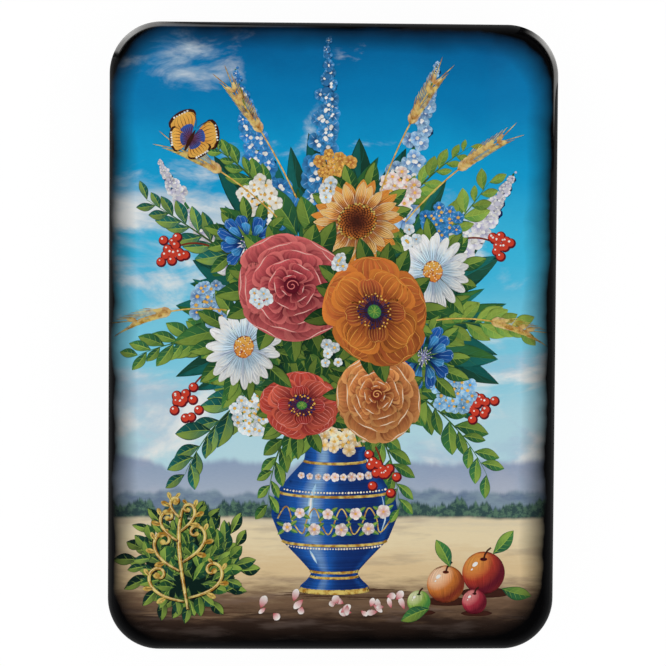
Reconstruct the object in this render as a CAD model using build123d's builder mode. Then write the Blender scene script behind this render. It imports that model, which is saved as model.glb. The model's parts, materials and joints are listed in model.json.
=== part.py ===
from build123d import *

import os
from math import hypot, radians, tan

# Hinged lacquer box of wound and pressed papier-mache, with an upright picture on its lid.
# Frame: +Z up, +Y towards the top of the picture, hinge along the long side at -X.
# The origin is the middle of the underside, and the lid is shut. Sizes are in millimetres.

# Closed box
box_width = 100.0
box_length = 140.0
corner_radius = 11.5

# Base board, glued under the wall
base_thickness = 4.0
base_round = 2.0

# Wound wall of the body, from the base board to the parting
wall_height = 19.0
wall_thickness = 4.5
seam_bevel = 0.4

# Wound collar, glued inside the wall, that guides the lid
collar_thickness = 1.6
collar_rise = 2.8
collar_bevel = 0.5
collar_play = 0.35

# Lid: a wound wall under a board that is pressed to a low arch
seat_gap = 0.1
lid_wall_height = 6.9
lid_thickness = 5.0
lid_round = 3.0
arch_rise = 0.8

# Primed ground of the picture, let into the lid board and flush with it
ground_inset = 3.6
ground_thickness = 0.4

# Hinge of rolled sheet with five knuckles, sunk in the back edge
hinge_length = 64.0
knuckle_gap = 0.2
sheet_thickness = 0.6
pin_radius = 0.6
pin_play = 0.05
roll_slit = 0.2
peen_radius = 0.85
peen_height = 0.35
peen_bevel = 0.15
bed_play = 0.25
back_cover = 0.5
body_leaf_depth = 7.0
lid_leaf_depth = 5.0
leaf_corner = 1.2
slot_play = 0.05
slot_floor_play = 0.3
opening_angle = 100.0
bevel_spare_angle = 1.0
knuckle_count = 5

# Wire tacks through wall and leaf, driven from inside
tack_radius = 0.45
tack_cover = 0.8
tack_point = 0.3
tack_play = 0.02
body_tack_drop = 4.4
lid_tack_rise = 3.1
tack_count = 3
tack_pitch_share = 0.4

# How far a cutting shape runs past what it cuts
overrun = 1.0

# Heights
parting = base_thickness + wall_height
lid_foot = parting + seat_gap
board_foot = lid_foot + lid_wall_height
top = board_foot + lid_thickness

# The lid's wall stands off the collar, so it is thinner than the body's
lid_wall_thickness = wall_thickness - collar_play

# Arch across the lid: it stands highest along the middle line, and arch_rise lower at the sides
arch_radius = hypot(box_width / 2, arch_rise) ** 2 / (2 * arch_rise)

# Hinge axis: just inside the back face and level with the parting
bore_radius = pin_radius + pin_play
knuckle_radius = bore_radius + sheet_thickness
bed_radius = knuckle_radius + bed_play
setback = back_cover + knuckle_radius
axis_x = setback - box_width / 2
axis_z = parting + seat_gap / 2
leaf_x = axis_x + knuckle_radius - sheet_thickness / 2
bevel_angle = opening_angle / 2 + bevel_spare_angle
bed_length = hinge_length + 2 * (peen_height + bed_play)
knuckle_pitch = (hinge_length + knuckle_gap) / knuckle_count
tack_pitch = tack_pitch_share * hinge_length


def plan(inset, mode=Mode.ADD):
    """Draws the box's rounded oblong, drawn in by inset, in the sketch that is open."""
    RectangleRounded(
        box_width - 2 * inset,
        box_length - 2 * inset,
        corner_radius - inset,
        mode=mode,
    )


def arch(radius, mode):
    """A long cylinder about the arch's own centre line, to cut the part that is open."""
    with Locations((0, 0, top - arch_radius)):
        Cylinder(radius, box_length + 2 * overrun, rotation=(90, 0, 0), mode=mode)


def cut_back_bevel(up):
    """Bevels the back edge outside the hinge axis; up is 1 on the lid and -1 on the body."""
    reach = setback + overrun
    with BuildSketch(Plane.XZ) as wedge:
        with BuildLine():
            Polyline(
                (axis_x, axis_z),
                (axis_x - reach, axis_z),
                (axis_x - reach, axis_z + up * reach * tan(radians(bevel_angle))),
                close=True,
            )
        make_face()
    half_cut = box_length / 2 + overrun
    extrude(wedge.sketch, amount=half_cut, both=True, mode=Mode.SUBTRACT)


def cut_hinge_seat(up, depth):
    """Cuts the round bed of the knuckles, and the slot that the leaf is glued into."""
    with BuildSketch(Plane.XZ) as bed:
        with Locations((axis_x, axis_z)):
            Circle(bed_radius)
    extrude(bed.sketch, amount=bed_length / 2, both=True, mode=Mode.SUBTRACT)
    slot_depth = depth + slot_floor_play
    with BuildSketch(Plane.XZ) as slot:
        with Locations((leaf_x, axis_z + up * slot_depth / 2)):
            Rectangle(sheet_thickness + 2 * slot_play, slot_depth)
    half_slot = hinge_length / 2 + slot_play
    extrude(slot.sketch, amount=half_slot, both=True, mode=Mode.SUBTRACT)


def tack_circles(height, radius):
    """Draws the row of tack sections, at a height, on a plane that faces along X."""
    with Locations((0, height)):
        with GridLocations(tack_pitch, 0, tack_count, 1):
            Circle(radius)


def hinge_leaf(up, depth, tack_height, own_knuckles, other_knuckles):
    """One leaf of the hinge: a flat plate whose tongues are rolled round the pin."""
    curl_height = knuckle_radius + knuckle_gap
    with BuildPart() as leaf:
        with BuildSketch(Plane.YZ.offset(leaf_x - sheet_thickness / 2)):
            with Locations((0, axis_z + up * depth / 2)):
                Rectangle(hinge_length, depth)
        extrude(amount=sheet_thickness)
        far_edge = leaf.edges().filter_by(Axis.X).group_by(Axis.Z)[-1 if up > 0 else 0]
        chamfer(far_edge, length=leaf_corner)
        for number in other_knuckles:
            middle = knuckle_middle(number)
            with BuildSketch(Plane.YZ.offset(leaf_x - sheet_thickness)):
                with Locations((middle, axis_z)):
                    Rectangle(knuckle_pitch + knuckle_gap, 2 * curl_height)
            extrude(amount=2 * sheet_thickness, mode=Mode.SUBTRACT)
        for number in own_knuckles:
            start = knuckle_middle(number) - (knuckle_pitch - knuckle_gap) / 2
            with BuildSketch(Plane.XZ.offset(-start)):
                with Locations((axis_x, axis_z)):
                    Circle(knuckle_radius)
                    Circle(bore_radius, mode=Mode.SUBTRACT)
                slit_x = axis_x + bore_radius - roll_slit / 2
                with Locations((slit_x, axis_z + up * knuckle_radius / 2)):
                    Rectangle(roll_slit, knuckle_radius, mode=Mode.SUBTRACT)
            extrude(amount=-(knuckle_pitch - knuckle_gap))
        with BuildSketch(Plane.YZ.offset(leaf_x - sheet_thickness)):
            tack_circles(tack_height, tack_radius + tack_play)
        extrude(amount=2 * sheet_thickness, mode=Mode.SUBTRACT)
    return leaf.part


def knuckle_middle(number):
    """Where along Y the middle of a knuckle lies, counted from the picture's foot."""
    return (number - (knuckle_count - 1) / 2) * knuckle_pitch


def tack_row(inner_face, length, height):
    """The wire tacks of one leaf, each with its blunt end at the wall's inner face."""
    with BuildPart() as row:
        with BuildSketch(Plane.YZ.offset(inner_face)):
            tack_circles(height, tack_radius)
        extrude(amount=-length)
        points = row.faces().filter_by(Axis.X).group_by(Axis.X)[0].edges()
        chamfer(points, length=tack_point)
    return row.part


# Base board: one pressed sheet, rounded under its edge
with BuildPart() as base_board:
    with BuildSketch():
        plan(0)
    extrude(amount=base_thickness)
    fillet(base_board.edges().group_by(Axis.Z)[0], radius=base_round)

# Body wall: a wound tube with the hinge let into its long back side
body_tack_length = wall_thickness - tack_cover
body_inner_face = wall_thickness - box_width / 2
body_tack_height = axis_z - body_tack_drop
with BuildPart() as body_wall:
    with BuildSketch(Plane.XY.offset(base_thickness)):
        plan(0)
        plan(wall_thickness, mode=Mode.SUBTRACT)
    extrude(amount=wall_height)
    rim = body_wall.faces().sort_by(Axis.Z)[-1]
    chamfer(rim.outer_wire().edges(), length=seam_bevel)
    cut_back_bevel(-1)
    cut_hinge_seat(-1, body_leaf_depth)
    with BuildSketch(Plane.YZ.offset(body_inner_face)):
        tack_circles(body_tack_height, tack_radius + tack_play)
    extrude(amount=-body_tack_length, mode=Mode.SUBTRACT)

# Collar: a second, thinner tube that stands proud of the wall's rim
with BuildPart() as inner_collar:
    with BuildSketch(Plane.XY.offset(base_thickness)):
        plan(wall_thickness)
        plan(wall_thickness + collar_thickness, mode=Mode.SUBTRACT)
    extrude(amount=wall_height + collar_rise)
    chamfer(inner_collar.faces().sort_by(Axis.Z)[-1].edges(), length=collar_bevel)

# Lid wall: the short tube that shuts over the collar
lid_tack_length = lid_wall_thickness - tack_cover
lid_inner_face = lid_wall_thickness - box_width / 2
lid_tack_height = axis_z + lid_tack_rise
with BuildPart() as lid_wall:
    with BuildSketch(Plane.XY.offset(lid_foot)):
        plan(0)
        plan(lid_wall_thickness, mode=Mode.SUBTRACT)
    extrude(amount=lid_wall_height)
    foot = lid_wall.faces().sort_by(Axis.Z)[0]
    chamfer(foot.outer_wire().edges(), length=seam_bevel)
    cut_back_bevel(1)
    cut_hinge_seat(1, lid_leaf_depth)
    with BuildSketch(Plane.YZ.offset(lid_inner_face)):
        tack_circles(lid_tack_height, tack_radius + tack_play)
    extrude(amount=-lid_tack_length, mode=Mode.SUBTRACT)

# Ground of the picture: an even skin of primer that follows the arch
with BuildPart() as painted_ground:
    with BuildSketch(Plane.XY.offset(board_foot)):
        plan(ground_inset)
    extrude(amount=lid_thickness + overrun)
    arch(arch_radius, Mode.INTERSECT)
    arch(arch_radius - ground_thickness, Mode.SUBTRACT)

# Lid board: arched, with a full soft edge, and hollowed for the ground
with BuildPart() as lid_board:
    with BuildSketch(Plane.XY.offset(board_foot)):
        plan(0)
    extrude(amount=lid_thickness + overrun)
    arch(arch_radius, Mode.INTERSECT)
    fillet(lid_board.faces().sort_by(Axis.Z)[-1].edges(), radius=lid_round)
    add(painted_ground.part, mode=Mode.SUBTRACT)

# Hinge pin: a wire with its ends peened over the outer knuckles
with BuildPart() as hinge_pin:
    with BuildSketch(Plane.XZ):
        with Locations((axis_x, axis_z)):
            Circle(pin_radius)
    extrude(amount=hinge_length / 2 + peen_height, both=True)
    for side in (-1, 1):
        with BuildSketch(Plane.XZ.offset(side * hinge_length / 2)):
            with Locations((axis_x, axis_z)):
                Circle(peen_radius)
        extrude(amount=side * peen_height)
    ends = hinge_pin.faces().filter_by(Axis.Y).sort_by(Axis.Y)
    chamfer(ends[0].edges() + ends[-1].edges(), length=peen_bevel)

# Leaves: three knuckles on the body and two on the lid
body_knuckles = range(0, knuckle_count, 2)
lid_knuckles = range(1, knuckle_count, 2)
leaf_on_body = hinge_leaf(
    -1, body_leaf_depth, body_tack_height, body_knuckles, lid_knuckles
)
leaf_on_lid = hinge_leaf(1, lid_leaf_depth, lid_tack_height, lid_knuckles, body_knuckles)

tacks_in_body = tack_row(body_inner_face, body_tack_length, body_tack_height)
tacks_in_lid = tack_row(lid_inner_face, lid_tack_length, lid_tack_height)

pieces = {
    "base_board": base_board.part,
    "body_wall": body_wall.part,
    "inner_collar": inner_collar.part,
    "lid_wall": lid_wall.part,
    "lid_board": lid_board.part,
    "painted_ground": painted_ground.part,
    "hinge_leaf_body": leaf_on_body,
    "hinge_leaf_lid": leaf_on_lid,
    "hinge_pin": hinge_pin.part,
    "hinge_tacks_body": tacks_in_body,
    "hinge_tacks_lid": tacks_in_lid,
}

os.makedirs("parts", exist_ok=True)
for name, part in pieces.items():
    part.label = name
    export_step(part, f"parts/{name}.step")
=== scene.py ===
# %% [markdown]
# A small black lacquer box lies shut on a pale table, seen from nearly straight above, with a
# bright bouquet on its lid. This lesson dresses the packed model of the box: lacquered shells, a
# red inside, a brass hinge, and a picture laid on stroke by stroke as thin plates of paint. Every
# size below is worked out from the packed model, so that comes first.

# %% The packed model
import json
import math

import bpy
import numpy as np
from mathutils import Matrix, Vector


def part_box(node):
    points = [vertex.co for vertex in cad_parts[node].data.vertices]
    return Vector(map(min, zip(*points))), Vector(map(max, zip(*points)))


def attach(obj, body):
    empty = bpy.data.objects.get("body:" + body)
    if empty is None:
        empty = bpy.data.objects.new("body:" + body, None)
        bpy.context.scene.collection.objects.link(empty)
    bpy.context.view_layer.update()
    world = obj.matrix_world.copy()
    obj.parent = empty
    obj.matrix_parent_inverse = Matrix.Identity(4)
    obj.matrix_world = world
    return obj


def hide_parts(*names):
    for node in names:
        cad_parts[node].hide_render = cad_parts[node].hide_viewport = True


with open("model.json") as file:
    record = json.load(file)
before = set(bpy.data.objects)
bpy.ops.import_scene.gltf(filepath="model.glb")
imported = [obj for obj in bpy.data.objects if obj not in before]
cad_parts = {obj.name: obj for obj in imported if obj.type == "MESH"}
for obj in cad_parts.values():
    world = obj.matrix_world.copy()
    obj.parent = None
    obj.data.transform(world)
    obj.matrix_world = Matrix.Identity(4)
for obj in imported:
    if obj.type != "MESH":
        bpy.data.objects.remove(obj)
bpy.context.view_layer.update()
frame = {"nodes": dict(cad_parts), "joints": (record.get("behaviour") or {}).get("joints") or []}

MM = 0.001
even = np.linspace

# %% [markdown]
# The sizes are read from the packed nodes. Typed in, they would leave the dress behind when the
# model changes. Roundings and insets that a node's box can't tell are real sizes, in millimetres.

# %% Sizes of the box, in millimetres
def extent(node):
    """Lowest and highest corner of a node, in millimetres."""
    low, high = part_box(node)
    return np.array(low) / MM, np.array(high) / MM


half_width, half_length = extent("base_board")[1][:2]
wall_low, wall_high = extent("body_wall")
collar_high = extent("inner_collar")[1]
lid_low, lid_high = extent("lid_wall")
ground_high = extent("painted_ground")[1]

corner_radius = 11.5
body_wall_inset = half_width - collar_high[0]
collar_inner_inset = body_wall_inset + 1.6
lid_wall_inset = 4.15
base_round, lid_round = 2.0, 3.0
seam_round, collar_round = 0.45, 0.55
ground_inset, top_height = half_width - ground_high[0], ground_high[2]
arch_rise = 0.8
arch_radius = (half_width**2 + arch_rise**2) / (2 * arch_rise)
print("plan", half_width * 2, half_length * 2, "arch radius", round(float(arch_radius)))

# %% [markdown]
# The hinge turns about a pin in the parting at the back. The back edges of wall and lid are
# bevelled to let the lid swing, and a round bed takes the knuckles.

# %% Sizes of the hinge
hinge = frame["joints"][0]
axis_x, axis_z = hinge["pos_m"][0] / MM, hinge["pos_m"][2] / MM
bed_radius = 1.5
bed_half = extent("hinge_pin")[1][1] + 0.25
bevel_slope = math.tan(math.radians(51))
print("axis at", round(axis_x, 2), round(axis_z, 2))

# %% [markdown]
# The camera hangs about 0.7 m over the lid, a little towards the hinge and the top of the picture.
# Its place was found by fitting the plan of the lid, 31.5 mm over the table, to the outline in the
# photograph. A long lens keeps the walls out of sight behind the lid's soft edge.

# %% Camera
camera_place = np.array([-36.9, 37.7, 729.4])
camera_aim = np.array([0.0, 1.0, 31.5])
camera_roll = math.radians(-0.412)
camera_lens, sensor_width, nearest = 169.3, 36.0, 0.01


def aim_camera():
    """A camera that looks from its place to its aim, rolled about that line."""
    forward = camera_aim - camera_place
    forward = forward / np.linalg.norm(forward)
    upward = np.array([math.sin(camera_roll), math.cos(camera_roll), 0.0])
    right = np.cross(forward, upward)
    right = right / np.linalg.norm(right)
    upward = np.cross(right, forward)
    matrix = np.eye(4)
    matrix[:3, 0], matrix[:3, 1], matrix[:3, 2] = right, upward, -forward
    matrix[:3, 3] = camera_place * MM
    data = bpy.data.cameras.new("camera")
    data.lens, data.sensor_width, data.clip_start = camera_lens, sensor_width, nearest
    camera = bpy.data.objects.new("camera", data)
    bpy.context.scene.collection.objects.link(camera)
    camera.matrix_world = matrix.T.tolist()
    bpy.context.scene.camera = camera
    return camera


camera = aim_camera()
print("camera", [round(v, 3) for v in camera.matrix_world.translation])

# %% [markdown]
# A finish is a recipe of sums: so much of this noise, less that mask. Node by node that is hard to
# read, so this small class holds one output of a node, and each operator adds a Math node.

# %% Shader sums as Python sums
def maths(operation, swap=False):
    """A method that adds a Math node on its values; swap puts the last value first."""
    def method(self, *others):
        values = (self, *others)[::-1] if swap else (self, *others)
        return self.finish.node("ShaderNodeMath", {"operation": operation}, dict(enumerate(values)))
    return method


class Flow:
    """One output of a shader node. Sums of flows and numbers add Math nodes; absolute drops the
    sign, least and most give the smaller and the greater of two, and root the square root."""

    def __init__(self, finish, socket):
        self.finish, self.socket = finish, socket

    __add__ = __radd__ = maths("ADD")
    __mul__ = __rmul__ = maths("MULTIPLY")
    __sub__, __rsub__ = maths("SUBTRACT"), maths("SUBTRACT", swap=True)
    absolute, least, most, root = map(maths, ("ABSOLUTE", "MINIMUM", "MAXIMUM", "SQRT"))


def rgba(colour):
    """A colour of three numbers with its alpha; anything else as it is."""
    return (*colour, 1.0) if isinstance(colour, tuple) and len(colour) == 3 else colour


print("a grey with its alpha", rgba((0.5, 0.5, 0.5)))

# %% [markdown]
# A finish is one material. Its node method makes any node: the type, then the settings, then the
# values or links of its sockets. Steps that every finish repeats, such as a noise or a mix of
# colours, are methods too.

# %% Finishes, built node by node
class Finish:
    """A material, or the studio's world, that is built up from shader nodes."""

    def __init__(self, name, among="materials"):
        self.made = getattr(bpy.data, among).new(name)
        self.made.use_nodes = True
        self.tree = self.made.node_tree
        self.tree.nodes.clear()

    def node(self, kind, settings=None, sockets=None, output=0):
        """Adds a node, sets it up, feeds its sockets, and returns one of its outputs."""
        made = self.tree.nodes.new(kind)
        for key, value in (settings or {}).items():
            if key == "stops":
                self.set_stops(made.color_ramp, value)
            else:
                setattr(made, key, value)
        for key, value in (sockets or {}).items():
            if isinstance(value, Flow):
                self.tree.links.new(value.socket, made.inputs[key])
            else:
                made.inputs[key].default_value = value
        return Flow(self, made.outputs[output]) if made.outputs else None

    def set_stops(self, band, stops):
        """Gives a ramp its stops, each a share from 0 to 1 and a colour."""
        band.interpolation = "EASE"
        while len(band.elements) < len(stops):
            band.elements.new(0.5)
        for element, (share, colour) in zip(band.elements, stops):
            element.position, element.color = share, rgba(colour)

    def several(self, flow, *outputs):
        """Other outputs of the node that a flow comes from."""
        return [Flow(self, flow.socket.node.outputs[key]) for key in outputs]

    def place(self):
        """Object coordinates, which are the box's own frame, in metres."""
        return self.node("ShaderNodeTexCoord", output="Object")

    def split(self, vector):
        """The three parts of a vector."""
        return self.several(self.node("ShaderNodeSeparateXYZ", None, {0: vector}), 0, 1, 2)

    def join(self, x, y, z=0.0):
        """A vector of three parts."""
        return self.node("ShaderNodeCombineXYZ", None, {0: x, 1: y, 2: z})

    def stretch(self, vector, scale, turn=0.0, shift=(0.0, 0.0, 0.0)):
        """A vector scaled part by part, then turned about z and shifted."""
        return self.node("ShaderNodeMapping", {"vector_type": "POINT"}, {
            "Vector": vector, "Location": shift, "Rotation": (0.0, 0.0, turn), "Scale": scale})

    def noise(self, vector, scale, detail=3.0, roughness=0.5, distortion=0.0):
        """Fractal noise between 0 and 1."""
        return self.node("ShaderNodeTexNoise", None, {
            "Vector": vector, "Scale": scale, "Detail": detail,
            "Roughness": roughness, "Distortion": distortion})

    def rise(self, value, low, high, kind="SMOOTHSTEP"):
        """A step from 0 at low to 1 at high, smooth unless its kind is LINEAR."""
        settings = {"interpolation_type": kind, "clamp": True}
        return self.node("ShaderNodeMapRange", settings, {0: value, 1: low, 2: high, 3: 0.0, 4: 1.0})

    def mix(self, factor, first, second, blend="MIX"):
        """The first colour where the factor is 0 and the second where it is 1."""
        settings = {"data_type": "RGBA", "blend_type": blend}
        return self.node("ShaderNodeMix", settings, {0: factor, 6: rgba(first), 7: rgba(second)}, 2)

    def grey(self, value):
        """Black where the value is 0 and white where it is 1."""
        return self.mix(value, (0.0, 0.0, 0.0), (1.0, 1.0, 1.0))

    def bump(self, height, distance):
        """A normal for a height; a height of 1 stands distance metres proud."""
        return self.node("ShaderNodeBump", None, {"Height": height, "Distance": distance})

    def end(self, shader, kind="ShaderNodeOutputMaterial"):
        """Joins a shader to the output and returns the finished material or world."""
        self.node(kind, None, {"Surface": shader})
        return self.made

    def surface(self, **sockets):
        """A material of one Principled shader, whose sockets are named with underscores."""
        named = {key.replace("_", " "): rgba(value) for key, value in sockets.items()}
        return self.end(self.node("ShaderNodeBsdfPrincipled", None, named))


print("a finish can", [name for name in vars(Finish) if name[0] != "_"])

# %% [markdown]
# The lid's plan is an oblong with round corners, and every shell of the box is that oblong carried
# along a profile: each ring is drawn in by some inset, at some height. A bevelled cube would do for
# one shell, but rings give clean four-sided faces and can follow the bevel and the bed at the back.

# %% The plan as rings
corner_steps = 22
least_radius = 0.15
edge_stops = np.array([0.04, 0.12, 0.25, 0.38, 0.5, 0.62, 0.75, 0.88, 0.96])


def heading(angle):
    """Unit vectors (cos a, sin a)."""
    return np.stack([np.cos(angle), np.sin(angle)], -1)


def plan_ring(inset):
    """The outline drawn in by inset, anticlockwise from the foot of the +X side. A corner is its
    centre plus radius times (cos a, sin a); a side is a straight run between two. The back gets
    extra points at both ends of the hinge's bed."""
    radius = max(corner_radius - inset, least_radius)
    reach_x, reach_y = half_width - inset - radius, half_length - inset - radius
    centres = np.array([[1, 1], [-1, 1], [-1, -1], [1, -1]]) * [reach_x, reach_y]
    parts = []
    for turn, centre in enumerate(centres):
        angles = np.radians(90 * turn + even(0, 90, corner_steps + 1))
        arc = centre + radius * heading(angles)
        following = centres[(turn + 1) % 4] + radius * heading(angles[-1])
        stops = edge_stops
        if turn == 1:
            span = arc[-1][1] - following[1]
            beds = [bed_half, bed_half - 0.02, 0.02 - bed_half, -bed_half]
            stops = np.sort(np.append(stops, [(arc[-1][1] - y) / span for y in beds]))
        parts += [arc, arc[-1] + stops[:, None] * (following - arc[-1])]
    return np.vstack(parts)


def arch_drop(x):
    """How far the arched top lies under its middle line: radius less the circle's height at x."""
    return arch_radius - np.sqrt(arch_radius**2 - np.asarray(x) ** 2)


print("points round the plan", len(plan_ring(0)))

# %% [markdown]
# One function makes every mesh. Sharp edges are found by angle, so flats stay flat and roundings
# round. A part of the object rides on its body; studio pieces ride on nothing.

# %% Grids into meshes
crease_angle = math.radians(40)


def build_mesh(name, points, faces, body, slot, finishes, face_finish=None):
    """Makes one object from points in millimetres and faces, and lets it ride on its body."""
    mesh = bpy.data.meshes.new(name)
    mesh.from_pydata((points * MM).tolist(), [], faces)
    mesh.shade_smooth()
    mesh.set_sharp_from_angle(angle=crease_angle)
    for finish in finishes:
        mesh.materials.append(finish)
    if face_finish is not None:
        mesh.polygons.foreach_set("material_index", np.asarray(face_finish, np.int32))
    mesh.update()
    made = bpy.data.objects.new(name, mesh)
    bpy.context.scene.collection.objects.link(made)
    if body:
        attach(made, body)
    return made


def grid_faces(index):
    """Four-sided faces between the neighbours of a grid of point numbers."""
    corners = index[:-1, :-1], index[1:, :-1], index[1:, 1:], index[:-1, 1:]
    return np.stack(corners, -1).reshape(-1, 4)


print("faces of a grid of 3 by 4 points", len(grid_faces(np.arange(12).reshape(3, 4))))

# %% [markdown]
# A shell's profile may be closed, for a wall, or end in flat caps, for a board. Its two finishes,
# black outside and red inside, are told apart face by face. Quarter turns give its round edges.

# %% A profile carried round the plan
def ring_faces(rings, count, looped):
    """Four-sided faces between neighbouring rings, facing away from the profile's left side."""
    index = np.arange(rings * count).reshape(rings, count)
    index = np.pad(index, ((0, int(looped)), (0, 1)), "wrap")
    return np.roll(grid_faces(index)[:, ::-1], 1, 1).tolist()


def shell(name, profile, body, slot, finishes, inside, shape=None, looped=True):
    """The plan carried along a profile of (inset, height). shape moves the points of all rings,
    and inside says for each band of faces whether it has the second finish."""
    rings = np.stack([np.column_stack([plan_ring(i), np.full(len(plan_ring(i)), z)])
                      for i, z in profile])
    if shape:
        rings = shape(rings)
    count = rings.shape[1]
    faces = ring_faces(len(profile), count, looped)
    face_finish = np.repeat(inside, count)
    if not looped:
        faces.append(list(range(count))[::-1])
        faces.append([(len(profile) - 1) * count + i for i in range(count)])
        face_finish = np.append(face_finish, [inside[0], inside[-1]])
    return build_mesh(name, rings.reshape(-1, 3), faces, body, slot, finishes, face_finish)


def quarter(radius, start, end, steps):
    """Pairs (radius * (1 - sin a), radius * (1 - cos a)) for the angles from start to end."""
    angles = np.radians(even(start, end, steps))
    return list(zip(radius * (1 - np.sin(angles)), radius * (1 - np.cos(angles))))


print("a round edge of 1 mm", np.round(quarter(1.0, 90, 0, 3), 2).tolist())

# %% [markdown]
# Black lacquer is many coats of oil varnish with soot, rubbed down and polished. It is nearly a
# mirror, with a faint unevenness that shows only in reflections, a few dust nibs, and thin
# polishing marks. Heights of a few microns in the bump do that without geometry.

# %% Marks in the varnish
marks_height = 0.000012


def lacquer_marks(finish, place):
    """Height of the coat: slow waves, fine polishing lines that run along the box, and nibs."""
    waves = finish.noise(place, 260.0, 2.0, 0.4)
    x, y, z = finish.split(place)
    lines = finish.noise(finish.join(x * 9.0, y * 0.7, z * 9.0), 900.0, 2.0, 0.6)
    nibs = finish.rise(finish.noise(place, 1400.0, 1.0, 0.5), 0.74, 0.82)
    return waves * 0.75 + lines * 0.1 + nibs * 0.35


print("a mark of height 1 stands", marks_height * 1e6, "microns proud")

# %% [markdown]
# A clear coat over a dull dark base gives the depth of lacquer. The inside is the same lacquer in
# red, with more wear. A plain glossy colour would look like plastic; here two tones drift, and the
# coat is duller in scuffed patches.

# %% Lacquer finishes
def lacquer(name, deep, worn, roughness, wear=1.0):
    """Polished lacquer whose colour drifts between two tones, duller in worn patches. Fine grain
    and a few dark specks of dust lie in the coat."""
    finish = Finish(name)
    place = finish.place()
    cloud = finish.noise(place, 55.0, 4.0, 0.55)
    streak = finish.noise(finish.stretch(place, (60.0, 9.0, 60.0)), 6.0, 4.0, 0.6)
    scuff = finish.rise(finish.noise(place, 420.0, 5.0, 0.7), 0.6, 0.78)
    colour = finish.mix(finish.rise(cloud * 0.5 + streak * 0.5, 0.35, 0.68), deep, worn)
    grain = finish.noise(place, 2600.0, 4.0, 0.7)
    colour = finish.mix(0.30, colour, finish.grey(grain), "SOFT_LIGHT")
    specks = finish.rise(finish.noise(place, 900.0, 2.0, 0.5), 0.70, 0.76)
    return finish.surface(
        Base_Color=finish.mix(specks * 0.5, colour, (0.012, 0.004, 0.003)),
        Roughness=roughness + scuff * 0.12 * wear + cloud * 0.06,
        Specular_IOR_Level=0.22,
        Coat_Weight=0.95 - scuff * 0.25 * wear,
        Coat_Roughness=0.035,
        Coat_IOR=1.6,
        Normal=finish.bump(lacquer_marks(finish, place), marks_height),
    )


black_lacquer = lacquer("black lacquer", (0.0035, 0.0032, 0.0035), (0.008, 0.007, 0.0065), 0.2)
red_lacquer = lacquer("red lacquer", (0.30, 0.010, 0.006), (0.44, 0.024, 0.010), 0.26, 1.3)
print("nodes in a lacquer", len(black_lacquer.node_tree.nodes))

# %% [markdown]
# The wall's rim is bevelled at the back, where the open lid leans, and has a round bed for the
# hinge's knuckles. Cutters could carve both, but they are only heights that depend on x, so the rim
# is made flat and then lowered: the lowest of rim, bevel and bed wins.

# %% The bevel and the bed at the back
def lowered_back(rings, side):
    """Cuts the back bevel and the hinge's bed into a rim: side is -1 on the body, 1 on the lid.
    Bevel: axis height plus side * slope * (axis x - x). Bed: axis height plus side * root(r2 - d2)."""
    x, y, z = rings[..., 0], rings[..., 1], rings[..., 2]
    reach = np.maximum(axis_x - x, 0)
    limit = np.where(reach > 0, axis_z + side * bevel_slope * reach, axis_z + side * 0.05)
    aside = np.abs(x - axis_x)
    dip = np.sqrt(np.maximum(bed_radius**2 - aside**2, 0))
    in_bed = (np.abs(y) < bed_half - 0.01) & (aside < bed_radius)
    limit = np.where(in_bed, axis_z + side * np.maximum(dip, side * (limit - axis_z)), limit)
    rings[..., 2] = np.minimum(z, limit) if side < 0 else np.maximum(z, limit)
    return rings


def rim_insets(first, last):
    """Insets of the rings on a rim, close together where the bed and the bevel need them."""
    wanted = np.array([0.7, 0.95, 1.25, 1.5, 1.75, 2.0, 2.3, 2.6, 2.9, 3.1, 3.25, 3.4])
    return wanted[(wanted > first) & (wanted < last)]


print("rings on the body's rim", len(rim_insets(seam_round, body_wall_inset)))

# %% [markdown]
# The base board is pressed sheet, rounded under its edge, with a flat cap below and above. What
# shows inside the tray is red: its last band and its upper cap.

# %% Base board
foot_height, parting = wall_low[2], wall_high[2]
base_profile = [
    (base_round + 1.5, 0.0), *quarter(base_round, 0, 90, 9), (0.0, foot_height - 0.4),
    (0.0, foot_height), (body_wall_inset, foot_height), (collar_inner_inset + 2, foot_height)]
base_inside = [False] * (len(base_profile) - 2) + [True]
base = shell("base_board_lacquered", base_profile, "box", "black_lacquer",
             [black_lacquer, red_lacquer], base_inside, looped=False)
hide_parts("base_board")
print("base board", len(base.data.polygons), "faces")

# %% [markdown]
# The wall is a tube of paper wound on a block. Its profile is a closed loop: up the outside, round
# the soft edge of the seam, along the rim, and down the inside.

# %% Body wall
wall_profile = [
    (0.0, foot_height), (0.0, foot_height + 0.3), (0.0, axis_z - 2.6),
    *[(i, parting - z) for i, z in quarter(seam_round, 90, 0, 6)],
    *[(i, parting) for i in rim_insets(seam_round, body_wall_inset)],
    (body_wall_inset, parting), (body_wall_inset, foot_height)]
wall = shell("body_wall_lacquered", wall_profile, "box", "black_lacquer", [black_lacquer],
             [False] * len(wall_profile), lambda rings: lowered_back(rings, -1))
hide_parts("body_wall")
print("body wall", len(wall.data.polygons), "faces")

# %% [markdown]
# The collar is a thinner tube, glued inside the wall, that stands proud of the rim. Both its upper
# edges are scraped round, so its profile has two quarter turns on top.

# %% Collar
collar_top = collar_high[2]
collar_profile = [
    (body_wall_inset, foot_height), (body_wall_inset, parting),
    *[(body_wall_inset + i, collar_top - z) for i, z in quarter(collar_round, 90, 0, 6)],
    *[(collar_inner_inset - i, collar_top - z) for i, z in quarter(collar_round, 0, 90, 6)],
    (collar_inner_inset, parting), (collar_inner_inset, foot_height)]
collar = shell("inner_collar_lacquered", collar_profile, "box", "red_lacquer", [red_lacquer],
               [False] * len(collar_profile))
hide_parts("inner_collar")
print("collar", len(collar.data.polygons), "faces")

# %% [markdown]
# The lid's wall is the upper end of the same tube, cut off at the parting, so it is made the same
# way, upside down, and is red inside.

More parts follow.
